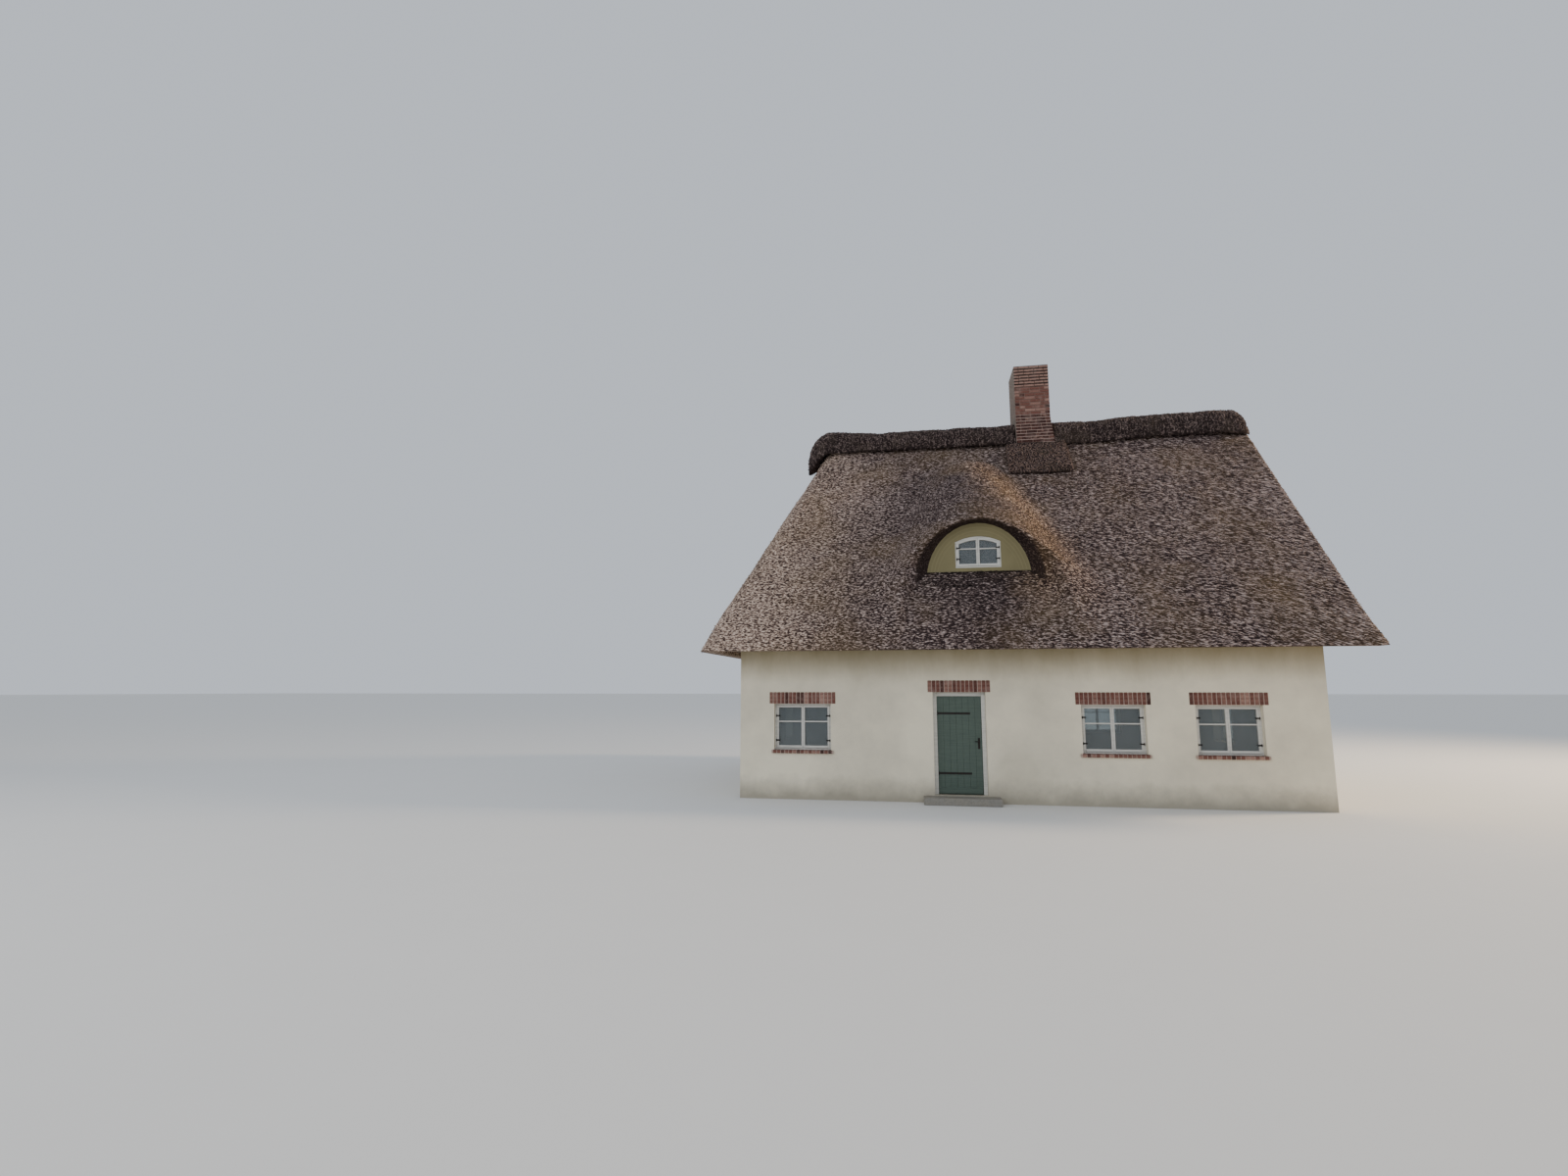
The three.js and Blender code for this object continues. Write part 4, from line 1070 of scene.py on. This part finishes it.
def roof_cutter(name, with_opening):
    """What is cut from a coat: all below the eave, the chimney and the dormer's opening."""
    play, beyond = 0.001, 9
    reach = CHIMNEY_HALF_DEPTH + play
    right = CHIMNEY_X + CHIMNEY_HALF + CHIMNEY_SPREAD + play
    parts = [
        box_skin((-beyond, beyond), (-beyond, beyond), (0, EAVE_Z - DROOP)),
        box_skin((CHIMNEY_LEFT - play, right), (-reach, reach), (INDOOR_Z, CLEAR_Z)),
    ]
    if with_opening:
        parts.append(opening_skin())
    return new_piece(name, *joined(parts), finish("reed_bed"))


def clad(source, name, slot, **values):
    """Clumps over a piece, as a piece of their own."""
    tree = bpy.data.node_groups.get("Clumps") or clump_tree()
    return settle(run_tree(source, tree, name, **values), slot)


class COTTAGE_OT_reed(bpy.types.Operator):
    """Lays the reed coats on the two long slopes and the hip, with the eyebrow in the front one"""
    bl_idname = "cottage.reed"
    bl_label = "Reed Roof"

    def execute(self, context):
        reed = settings("reed")
        size = (reed.clump_run, reed.clump_width, reed.clump_height)
        grids = {
            "front_thatch": slope_grids(-1),
            "back_thatch": slope_grids(1),
            "left_hip_thatch": hip_grids(),
        }
        for node, (top, under) in grids.items():
            made = new_piece(node + "_reed", *slab(top, under), finish("reed_bed"))
            cut(made, roof_cutter(node + "_cutter", node == "front_thatch"))
            made.data.shade_smooth()
            settle(made, "reed", node)
            clad(made, node + "_butts", "reed", material=finish("reed"), spacing=reed.spacing, size=size,
                 wander=reed.wander, facing=BUTT_FACING, widening=BUTT_WIDENING, seed=reed.seed)
        return {"FINISHED"}


# Heather

def roll_grids(stations):
    """Outer and inner grid of a rounded back carried through its stations."""
    angle = np.linspace(0, np.pi, 35)
    out = np.sign(np.cos(angle)) * np.abs(np.cos(angle)) ** ROLL_POWER
    up = np.maximum(np.sin(angle), 0) ** ROLL_POWER
    top, under = [], []
    for x, turn, reach, foot, crest, lift in stations:
        px = x - np.abs(out) * reach * math.sin(turn)
        py = -out * reach * math.cos(turn)
        top.append(np.stack([px, py, foot + (crest - foot) * up], -1))
        px = x + (px - x) * ROLL_UNDERSIDE
        py = py * ROLL_UNDERSIDE
        under.append(np.stack([px, py, rounded_roof(px, py) + lift], -1))
    return np.array(top), np.array(under)


def straight(x, scale=1.0):
    """A station of the straight ridge, which has sunk a little in its middle part."""
    reach = ROLL_REACH * (0.6 + 0.4 * scale)
    sunk = ROLL_SAG * float(smooth_step(x, *SAG_LEFT) * (1 - smooth_step(x, *SAG_RIGHT)))
    fall = ROLL_END_FALL * float(smooth_step(x, *(ROLL_RIGHT - run for run in ROLL_END_FALL_RUN)))
    foot = ROLL_FOOT_Z - (sunk if x > CHIMNEY_X else 0.0) - fall
    return x, 0.0, reach, foot, foot + (ROLL_TOP_Z - sunk - foot) * scale, ROLL_LIFT


def hood(degrees):
    """A station of the hood, which turns down over the hip."""
    turn = math.radians(degrees)
    hipward = math.sin(turn) ** 2
    reach = ROLL_REACH + (HOOD_REACH - ROLL_REACH) * hipward
    x = HOOD_X - HOOD_SHIFT * degrees / 90
    return x, turn, reach, ROLL_FOOT_Z - HOOD_FALL * hipward, ROLL_TOP_Z, HOOD_LIFT


def left_stations(step):
    end = CHIMNEY_LEFT - GAP
    lengths = np.arange(HOOD_END_X, end - step / 2, step)
    turned = [hood(degrees) for degrees in np.linspace(HOOD_DEGREES, 0, HOOD_STATIONS)]
    return turned + [straight(x) for x in (*lengths, end)]


def right_stations(step):
    start = CHIMNEY_X + CHIMNEY_HALF + CHIMNEY_SPREAD + GAP
    stations = [straight(x) for x in np.arange(start, ROLL_RIGHT - ROLL_END_ROUND, step)]
    for left in ROLL_END_STEPS:
        scale = (1 - (1 - left / ROLL_END_ROUND) ** ROLL_END_POWER) ** (1 / ROLL_END_POWER)
        stations.append(straight(ROLL_RIGHT - ROLL_END_SHORT - left, max(scale, ROLL_END_SCALE)))
    return stations


def roughened(made, coarse, fine, start):
    """Moves each point of a piece along its normal by lumps and knobs."""
    mesh = made.data
    count = len(mesh.vertices)
    points, normals = np.zeros(count * 3), np.zeros(count * 3, np.float32)
    mesh.vertices.foreach_get("co", points)
    mesh.vertex_normals.foreach_get("vector", normals)
    points, normals = points.reshape(-1, 3), normals.reshape(-1, 3)
    rise = coarse * lumps(points, HEATHER_LUMP_SIZE, start)
    rise += fine * lumps(points, HEATHER_KNOB_SIZE, start + 1)
    mesh.vertices.foreach_set("co", (points + normals * rise[:, None]).astype(np.float32).ravel())
    mesh.update()


def apron_bed(x, y):
    return slope_top(x, y) + eyebrow(x, y)


def apron_grids(side):
    """Outer and inner grid of a heather apron, thick at its lower edge and cut back beneath it."""
    first = CHIMNEY_HALF_DEPTH + 2 * GAP
    rows = np.concatenate([np.linspace(0, 0.9, 19), [0.94, 0.97, 0.99, 1.0]])
    x, out = np.meshgrid(APRON_LEFT + (APRON_RIGHT - APRON_LEFT) * np.linspace(0, 1, 41),
                         first + (APRON_RUN - first) * rows)
    end = np.clip(1 - np.minimum(x - APRON_LEFT, APRON_RIGHT - x) / APRON_END_ROUND, 0, 1)
    low = np.clip(1 - (APRON_RUN - out) / APRON_EDGE_ROUND, 0, 1)
    fall = APRON_FALL * (1 - np.sqrt(1 - np.maximum(end, low) ** 2))
    top = np.stack([x, side * out, apron_bed(x, side * out) + APRON_THICK - fall], -1)
    middle = (APRON_LEFT + APRON_RIGHT) / 2
    inner_x = middle + (x - middle) * APRON_UNDERCUT[0]
    inner_y = side * (first + (out - first) * APRON_UNDERCUT[1])
    under = np.stack([inner_x, inner_y, apron_bed(inner_x, inner_y) - APRON_SUNK], -1)
    return top, under


class COTTAGE_OT_heather(bpy.types.Operator):
    """Lays the heather rolls on the ridge and the heather aprons at the chimney's foot"""
    bl_idname = "cottage.heather"
    bl_label = "Heather Ridge"

    def execute(self, context):
        heather = settings("heather")
        grids = {
            "ridge_roll_left": roll_grids(left_stations(heather.step)),
            "ridge_roll_right": roll_grids(right_stations(heather.step)),
            "chimney_apron_front": apron_grids(-1),
            "chimney_apron_back": apron_grids(1),
        }
        size = (heather.sprig_run, heather.sprig_width, heather.sprig_height)
        for number, (node, (top, under)) in enumerate(grids.items()):
            made = new_piece(node + "_heather", *slab(top, under), finish("heather_bed"))
            roughened(made, heather.lump, heather.knob, 11 + number)
            made.data.shade_smooth()
            settle(made, "heather", node)
            cover = finish("apron" if "apron" in node else "heather")
            clad(made, node + "_sprigs", "heather", material=cover, spacing=heather.spacing, size=size,
                 wander=SPRIG_WANDER, facing=SPRIG_FACING, widening=1.0, seed=heather.seed + number)
        return {"FINISHED"}


# Brickwork

def unit_brick():
    form = bmesh.new()
    bmesh.ops.create_cube(form, size=1)
    round_edges(form, BRICK_ROUND)
    return link_form("Brick", form, finish("brick"))


def lay_bricks(name, rows):
    """A piece of bricks from rows of middle, size and turn."""
    middles, sizes, turns = zip(*rows)
    mesh = bpy.data.meshes.new(name)
    mesh.from_pydata(middles, [], [])
    for key, values in (("size", sizes), ("turn", turns)):
        attribute = mesh.attributes.new(key, "FLOAT_VECTOR", "POINT")
        attribute.data.foreach_set("vector", np.array(values, np.float32).ravel())
    tones = np.random.default_rng(settings("brick").seed).random(len(rows))
    mesh.attributes.new("tone", "FLOAT", "POINT").data.foreach_set("value", tones.astype(np.float32))
    source, shape = link_object(name + "_points", mesh), unit_brick()
    tree = bpy.data.node_groups.get("Bricks") or brick_tree()
    made = run_tree(source, tree, name, brick=shape, material=finish("brick"))
    for helper in (source, shape):
        bpy.data.objects.remove(helper)
    return settle(made, "brick")


def run_of(total, start_half, brick):
    """Lengths of the bricks that fill a run, the first a half one on every second course."""
    lengths = [brick.wide] if start_half else []
    while sum(lengths) + len(lengths) * brick.joint + brick.long <= total + 0.001:
        lengths.append(brick.long)
    left = total - sum(lengths) - len(lengths) * brick.joint
    if left > LEAST_BRICK:
        lengths.append(left)
    spare = total - sum(lengths) - (len(lengths) - 1) * brick.joint
    return [n + spare / len(lengths) for n in lengths]


def stack_right(z):
    """X of the stack's right face, which spreads towards its foot."""
    down = min(max((SPREAD_HIGH - z) / (SPREAD_HIGH - SPREAD_LOW), 0), 1)
    return CHIMNEY_X + CHIMNEY_HALF + CHIMNEY_SPREAD * down


def stack_rows():
    """The bricks of the stack, whose courses turn their corners by turns."""
    brick = settings("brick")
    half_wide, turned_back = brick.wide / 2, brick.wide + brick.joint
    rows = []
    for course in range(COURSES):
        z = CHIMNEY_TOP - BEDDING - brick.high / 2 - course * (brick.high + brick.joint)
        right = stack_right(z)
        front_inset, side_inset = (0, turned_back) if course % 2 == 0 else (turned_back, 0)
        for face in (-1, 1):
            x = CHIMNEY_LEFT + front_inset
            y = face * (CHIMNEY_HALF_DEPTH - half_wide)
            for n in run_of(right - CHIMNEY_LEFT - 2 * front_inset, course % 4 < 2, brick):
                rows.append(((x + n / 2, y, z), (n, brick.wide, brick.high)))
                x += n + brick.joint
            x = right - half_wide if face > 0 else CHIMNEY_LEFT + half_wide
            y = side_inset - CHIMNEY_HALF_DEPTH
            for n in run_of(2 * (CHIMNEY_HALF_DEPTH - side_inset), course % 4 > 1, brick):
                rows.append(((x, y + n / 2, z), (brick.wide, n, brick.high)))
                y += n + brick.joint
    wobble = np.random.default_rng(brick.seed + 1).normal(0, BRICK_WOBBLE, (len(rows), 3)) * (1, 0.5, 1)
    return [(middle, size, turn) for (middle, size), turn in zip(rows, wobble)]


def stack_core():
    """The mortar behind the bricks, with the flue through it."""
    recess = settings("brick").recess
    heights = (FLOOR_Z + GAP, SPREAD_LOW, SPREAD_HIGH, CHIMNEY_TOP - CORE_DOWN)
    ends = (recess - CHIMNEY_HALF_DEPTH, CHIMNEY_HALF_DEPTH - recess)
    left = np.array([[(CHIMNEY_LEFT + recess, y, z) for z in heights] for y in ends])
    right = np.array([[(stack_right(z) - recess, y, z) for z in heights] for y in ends])
    made = new_piece("chimney_stack_mortar", *slab(left, right), finish("mortar"))
    wide, deep = FLUE_HALF
    flue = box_skin((CHIMNEY_X - wide, CHIMNEY_X + wide), (-deep, deep), (FLUE_FOOT_Z, CLEAR_Z))
    return cut(made, new_piece("flue_cutter", *flue, finish("mortar")))


def stack_cap():
    """Sloped mortar bedding round the flue, on top of the last course."""
    outer = (CHIMNEY_HALF - CAP_INSET, CHIMNEY_HALF_DEPTH - CAP_INSET)
    inner = (FLUE_HALF[0] + CAP_INSET, FLUE_HALF[1] + CAP_INSET)
    rings = ((outer, CAP_INSET), (outer, CAP_EDGE), (inner, 0.0), (FLUE_HALF, 0.0), (FLUE_HALF, CAP_INSET))
    points, faces = [], []
    for (wide, deep), down in rings:
        corners = ((-wide, -deep), (wide, -deep), (wide, deep), (-wide, deep))
        points += [(CHIMNEY_X + x, y, CHIMNEY_TOP - down) for x, y in corners]
    for ring in range(len(rings)):
        low, high = ring * 4, (ring + 1) % len(rings) * 4
        faces += [(low + i, low + (i + 1) % 4, high + (i + 1) % 4, high + i) for i in range(4)]
    return new_piece("chimney_stack_cap", points, faces, finish("mortar"))


def side_by_side(half_run, back, z, size):
    """Middles and sizes of bricks set on edge over a run, in their wall's own frame."""
    brick = settings("brick")
    step = brick.high + brick.joint
    count = int(2 * half_run / step)
    return [(((k + 0.5 - count / 2) * step, back, z), (brick.high, *size)) for k in range(count)]


def opening_bricks(wall, centre, sill, height, width, with_sill):
    """Soldier bricks over an opening and bricks on edge under it."""
    brick = settings("brick")
    rows = side_by_side(width / 2 + LINTEL_REACH, brick.wide / 2 - 0.008, sill + height + brick.long / 2,
                        (brick.wide, brick.long))
    if with_sill:
        rows += side_by_side(width / 2 + SILL_REACH, 0.032, sill - 0.03, SILL_BRICK)
    place, turn = wall_frame(wall, centre), (0.0, 0.0, WALLS[wall][0])
    return [(place @ Vector(middle), size, turn) for middle, size in rows]


def opening_mortar(sill, height, width, with_sill):
    """The mortar behind an opening's bricks, facing the front."""
    form = bmesh.new()
    lintel, ledge = width / 2 + LINTEL_REACH - 0.01, width / 2 + SILL_REACH - 0.01
    add_box(form, (-lintel, lintel), (-0.003, 0.05), (sill + height, sill + height + 0.235))
    if with_sill:
        add_box(form, (-ledge, ledge), (-0.034, 0.1), (sill - 0.06, sill + 0.001))
    return form


class COTTAGE_OT_chimney(bpy.types.Operator):
    """Builds the chimney stack of single bricks in mortar, with its flue and cap"""
    bl_idname = "cottage.chimney"
    bl_label = "Chimney"

    def execute(self, context):
        lay_bricks("chimney_stack_bricks", stack_rows())
        settle(stack_core(), "brick", "chimney_stack")
        settle(stack_cap(), "brick")
        return {"FINISHED"}


class COTTAGE_OT_surrounds(bpy.types.Operator):
    """Lays brick lintels and sills at the openings in the walls"""
    bl_idname = "cottage.surrounds"
    bl_label = "Lintels and Sills"

    def execute(self, context):
        for wall in WALLS:
            rows = []
            for opening in (*WINDOWS, DOOR_OPENING):
                name, where, centre, *size = opening
                with_sill = opening is not DOOR_OPENING
                if where == wall:
                    rows += opening_bricks(wall, centre, *size, with_sill)
                    form = opening_mortar(*size, with_sill)
                    settle(place_form(form, name + "_mortar", "mortar", wall, centre), "brick")
            if rows:
                lay_bricks(wall + "_wall_bricks", rows)
        return {"FINISHED"}


# Joinery

def window_form(height, width):
    """Frame, two sashes and their bars, facing the front about the middle of the sill."""
    joinery = settings("joinery")
    form = bmesh.new()
    half, top = width / 2 - GAP, height - GAP
    for side in (-1, 1):
        add_box(form, (side * (half - WINDOW_POST), side * half), (0, FRAME_DEPTH), (GAP, top))
    for z in (GAP, top - WINDOW_POST):
        span = (WINDOW_POST - half, half - WINDOW_POST)
        add_box(form, span, (0.001, FRAME_DEPTH - 0.001), (z, z + WINDOW_POST))
    low, high = GAP + WINDOW_POST + CLEAR, top - WINDOW_POST - CLEAR
    middle = low + (high - low) * TRANSOM_SHARE
    rails = (
        (RAIL_DEPTH, (low, low + BOTTOM_RAIL)),
        (RAIL_DEPTH, (high - STILE, high)),
        (BAR_DEPTH, (middle - joinery.bar / 2, middle + joinery.bar / 2)),
        (DRIP_DEPTH, (low + 0.004, low + 0.022)),
    )
    for side in (-1, 1):
        near, far = side * CLEAR, side * (half - WINDOW_POST - CLEAR)
        near_rail, far_rail = near + side * MEETING_STILE, far - side * STILE
        for stile in ((near, near_rail), (far_rail, far)):
            add_box(form, stile, SASH_DEPTH, (low, high))
        for depth, heights in rails:
            add_box(form, (near_rail, far_rail), depth, heights)
    round_edges(form, joinery.bevel)
    return form


def arch_head(form, height, width):
    """Lowers the head of a window towards both sides to a segmental arch."""
    strips = 12
    radius = (width ** 2 / 4 + DORMER_HEAD_RISE ** 2) / (2 * DORMER_HEAD_RISE)
    for k in range(1, strips):
        whole = [*form.verts, *form.edges, *form.faces]
        x = width * (k / strips - 0.5)
        bmesh.ops.bisect_plane(form, geom=whole, plane_co=(x, 0, 0), plane_no=(1, 0, 0))
    for vert in form.verts:
        if vert.co.z > height * 0.8:
            vert.co.z -= radius - math.sqrt(radius ** 2 - vert.co.x ** 2)


def hinge_form(height, width):
    """Two small hinges at each side of a window, each a leaf and its knuckle."""
    form = bmesh.new()
    half = width / 2 - WINDOW_POST
    parts = (
        ((-0.075, 0.012), (-0.009, -0.003), (0.0, 0.03)),
        ((-0.008, 0.006), (-0.016, -0.002), (-0.012, 0.042)),
    )
    places = (WINDOW_HINGE_UP, height - WINDOW_HINGE_DOWN)
    for side, z, (aside, depth, heights) in product((-1, 1), places, parts):
        add_box(form, [side * (half + a) for a in aside], depth, [z + h for h in heights])
    round_edges(form, 0.0015)
    return form


class COTTAGE_OT_windows(bpy.types.Operator):
    """Makes the painted casement windows and glazes them"""
    bl_idname = "cottage.windows"
    bl_label = "Windows"

    def execute(self, context):
        for name, wall, centre, sill, height, width in (*WINDOWS, DORMER_WINDOW):
            form, back = window_form(height, width), SETBACK
            if wall == "dormer":
                arch_head(form, height, width)
                back = DORMER_SETBACK
            place = (wall, centre, sill, back)
            settle(place_form(form, name + "_joinery", "white", *place), "white_paint", name + "_frame")
            settle(place_form(hinge_form(height, width), name + "_hinges", "iron", *place), "white_paint")
            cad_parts[name + "_glass"].material_slots[0].material = finish("glass")
        return {"FINISHED"}


def hang(form, name, key, slot, *nodes):
    """Sets a form of the door in its opening."""
    return settle(place_form(form, name, key, "front", DOOR_X), slot, *nodes)


class COTTAGE_OT_door(bpy.types.Operator):
    """Makes the boarded door with its frame, iron fittings and stone step"""
    bl_idname = "cottage.door"
    bl_label = "Front Door"

    def execute(self, context):
        half, low, high = DOOR_WIDTH / 2 - GAP, FLOOR_Z + GAP, DOOR_HEAD - GAP
        inner = half - DOOR_POST - DOOR_CLEAR
        leaf = self.leaf(inner, low, high - DOOR_POST - DOOR_CLEAR)
        hang(self.posts(half, low, high), "door_frame_joinery", "white", "white_paint", "door_frame")
        hang(leaf, "front_door_leaf", "green", "green_paint", "front_door")
        hang(self.fittings(inner), "front_door_iron", "iron", "green_paint")
        self.doorstep()
        return {"FINISHED"}

    def posts(self, half, low, high):
        """The two posts of the door's frame and its head."""
        form = bmesh.new()
        for side in (-1, 1):
            add_box(form, (side * (half - DOOR_POST), side * half), (SETBACK, SETBACK + 0.1), (low, high))
        add_box(form, (DOOR_POST - half, half - DOOR_POST), (SETBACK + 0.001, SETBACK + 0.099),
                (high - DOOR_POST, high))
        round_edges(form, settings("joinery").bevel * 1.5, 2)
        return form

    def leaf(self, half, low, high):
        """Boards on a backing, with a weather board at the foot."""
        form = bmesh.new()
        count = round(2 * half / settings("joinery").board)
        wide, groove, foot = 2 * half / count, 0.0008, low + 0.01
        for k in range(count):
            x = -half + k * wide
            add_box(form, (x + groove, x + wide - groove), (DOOR_FACE, DOOR_FACE + 0.028), (foot, high))
        add_box(form, (-half, half), (DOOR_FACE + 0.026, DOOR_FACE + 0.05), (foot, high))
        weather_board = (DOOR_FACE - 0.024, DOOR_FACE + 0.004)
        add_box(form, (0.01 - half, half - 0.01), weather_board, (low + 0.03, low + 0.14))
        round_edges(form, 0.004, 2)
        return form

    def fittings(self, half):
        """Two strap hinges with their knuckles, then the plate, the grip and the post of the latch."""
        parts = []
        for z in DOOR_HINGES:
            parts.append(((0.01 - half, half - 0.22), (-0.006, 0.001), (z, z + 0.042)))
            parts.append(((-half - 0.008, 0.014 - half), (-0.014, 0.004), (z - 0.02, z + 0.062)))
        parts.append(((half - 0.085, half - 0.04), (-0.005, 0.001), (LATCH_Z - 0.14, LATCH_Z + 0.08)))
        parts.append(((half - 0.15, half - 0.055), (-0.05, -0.036), (LATCH_Z, LATCH_Z + 0.018)))
        parts.append(((half - 0.07, half - 0.055), (-0.048, 0.0), (LATCH_Z + 0.001, LATCH_Z + 0.017)))
        form = bmesh.new()
        for across, depth, heights in parts:
            add_box(form, across, [DOOR_FACE + d for d in depth], heights)
        round_edges(form, 0.003, 2)
        return form

    def doorstep(self):
        """A block of stone, softened at its edges."""
        form = bmesh.new()
        add_box(form, (-STEP_HALF, STEP_HALF), (-STEP_RUN - GAP, -GAP), (0.0, STEP_Z))
        bmesh.ops.subdivide_edges(form, edges=list(form.edges), cuts=7, use_grid_fill=True)
        made = place_form(form, "door_step_stone", "stone", "front", DOOR_X)
        soften = made.modifiers.new("Soften", "BEVEL")
        soften.width, soften.segments, soften.limit_method = 0.014, 3, "ANGLE"
        settle(made_plain(made), "stone", "door_step")


# Walls and timber

WALL_FINISHES = {
    "render": ("front_wall", "back_wall", "left_wall", "right_gable_wall"),
    "panel": ("dormer_panel",),
    "stone": ("floor_slab",),
    "floorboards": ("loft_floor",),
    "timber": ("rafter", "verge", "wall_plate", "hip_frame", "dormer_header", "front_soffit", "back_soffit",
               "left_soffit"),
}


class COTTAGE_OT_walls(bpy.types.Operator):
    """Gives the walls, floors, dormer panel and timbers their finishes"""
    bl_idname = "cottage.walls"
    bl_label = "Walls and Timber"

    def execute(self, context):
        for name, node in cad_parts.items():
            for key, starts in WALL_FINISHES.items():
                if name.startswith(starts):
                    node.material_slots[0].material = finish(key)
        self.battens()
        return {"FINISHED"}

    def battens(self):
        """Battens over the verge rafters, seen from below the overhang."""
        first, step, count = 0.35, 0.3, 20
        form = bmesh.new()
        lean = math.atan(MAIN_SLOPE)
        for side, k in product((-1, 1), range(count)):
            along = first + k * step
            y, z = along * math.cos(lean), APEX_Z - MAIN_DROP - along * math.sin(lean)
            made = add_box(form, (WALL_RIGHT + 0.002, VERGE_X - 0.05), (-0.025, 0.025), (0.0, 0.03))
            spin = Matrix.Rotation(-side * lean, 4, "X")
            bmesh.ops.transform(form, matrix=Matrix.Translation((0, side * y, z)) @ spin, verts=made)
        round_edges(form, 0.003)
        settle(link_form("verge_battens", form, finish("timber")), "timber")


# Stage

EYE_PLACE = (-1.949, -19.773)
EYE_TURN = (97.78, 0.0, 9.8)
KEY = {"place": (26.1, 2.4, 16.3), "target": (0.5, -1.0, 5.5), "size": 6.0, "tint": (1.0, 0.78, 0.52)}
FILL = {"place": (-20.0, -24.0, 14.0), "target": (0.0, 0.0, 4.5), "size": 14.0, "tint": (0.86, 0.92, 1.0)}


class COTTAGE_OT_stage(bpy.types.Operator):
    """Places the camera, the floor and the lights"""
    bl_idname = "cottage.stage"
    bl_label = "Camera, Floor and Lights"

    def execute(self, context):
        stage = settings("stage")
        self.camera(stage)
        self.floor()
        world = bpy.data.worlds.new("Ambient")
        world.use_nodes = True
        light = world.node_tree.nodes["Background"].inputs
        light["Color"].default_value = (*stage.sky, 1.0)
        light["Strength"].default_value = stage.ambient
        context.scene.world = world
        self.lamp("Key", stage.key, **KEY)
        self.lamp("Fill", stage.fill, **FILL)
        return {"FINISHED"}

    def camera(self, stage):
        data = bpy.data.cameras.new("Camera")
        data.sensor_width, data.lens, data.clip_end = 36.0, stage.lens, 2000
        eye = link_object("Camera", data)
        eye.location = (*EYE_PLACE, stage.eye)
        eye.rotation_euler = [math.radians(angle) for angle in EYE_TURN]
        bpy.context.scene.camera = eye

    def floor(self):
        half = 400.0
        mesh = bpy.data.meshes.new("Floor")
        corners = [(-half, -half, 0), (half, -half, 0), (half, half, 0), (-half, half, 0)]
        mesh.from_pydata(corners, [], [(0, 1, 2, 3)])
        link_mesh("Floor", mesh, finish("floor"))

    def lamp(self, name, energy, place, target, size, tint):
        data = bpy.data.lights.new(name, "AREA")
        data.shape, data.size, data.energy, data.color = "DISK", size, energy, tint
        made = link_object(name, data)
        made.location = place
        made.rotation_euler = (Vector(place) - Vector(target)).to_track_quat("Z", "Y").to_euler()


class COTTAGE_PT_panel(bpy.types.Panel):
    """Lists the steps that build the cottage"""
    bl_idname = "COTTAGE_PT_panel"
    bl_label = "Cottage"
    bl_space_type = "VIEW_3D"
    bl_region_type = "UI"
    bl_category = "Cottage"

    def draw(self, context):
        for step in STEPS:
            self.layout.operator(step.bl_idname)


STEPS = (
    COTTAGE_OT_stage,
    COTTAGE_OT_reed,
    COTTAGE_OT_heather,
    COTTAGE_OT_chimney,
    COTTAGE_OT_walls,
    COTTAGE_OT_surrounds,
    COTTAGE_OT_windows,
    COTTAGE_OT_door,
)
CLASSES = (*GROUPS.values(), *STEPS, COTTAGE_PT_panel)


def register():
    for item in CLASSES:
        bpy.utils.register_class(item)
    for name, group in GROUPS.items():
        setattr(bpy.types.Scene, name, PointerProperty(type=group))


def unregister():
    for name in GROUPS:
        delattr(bpy.types.Scene, name)
    for item in reversed(CLASSES):
        bpy.utils.unregister_class(item)


def main():
    register()
    for step in STEPS:
        family, name = step.bl_idname.split(".")
        getattr(getattr(bpy.ops, family), name)()


if __name__ == "__main__":
    main()
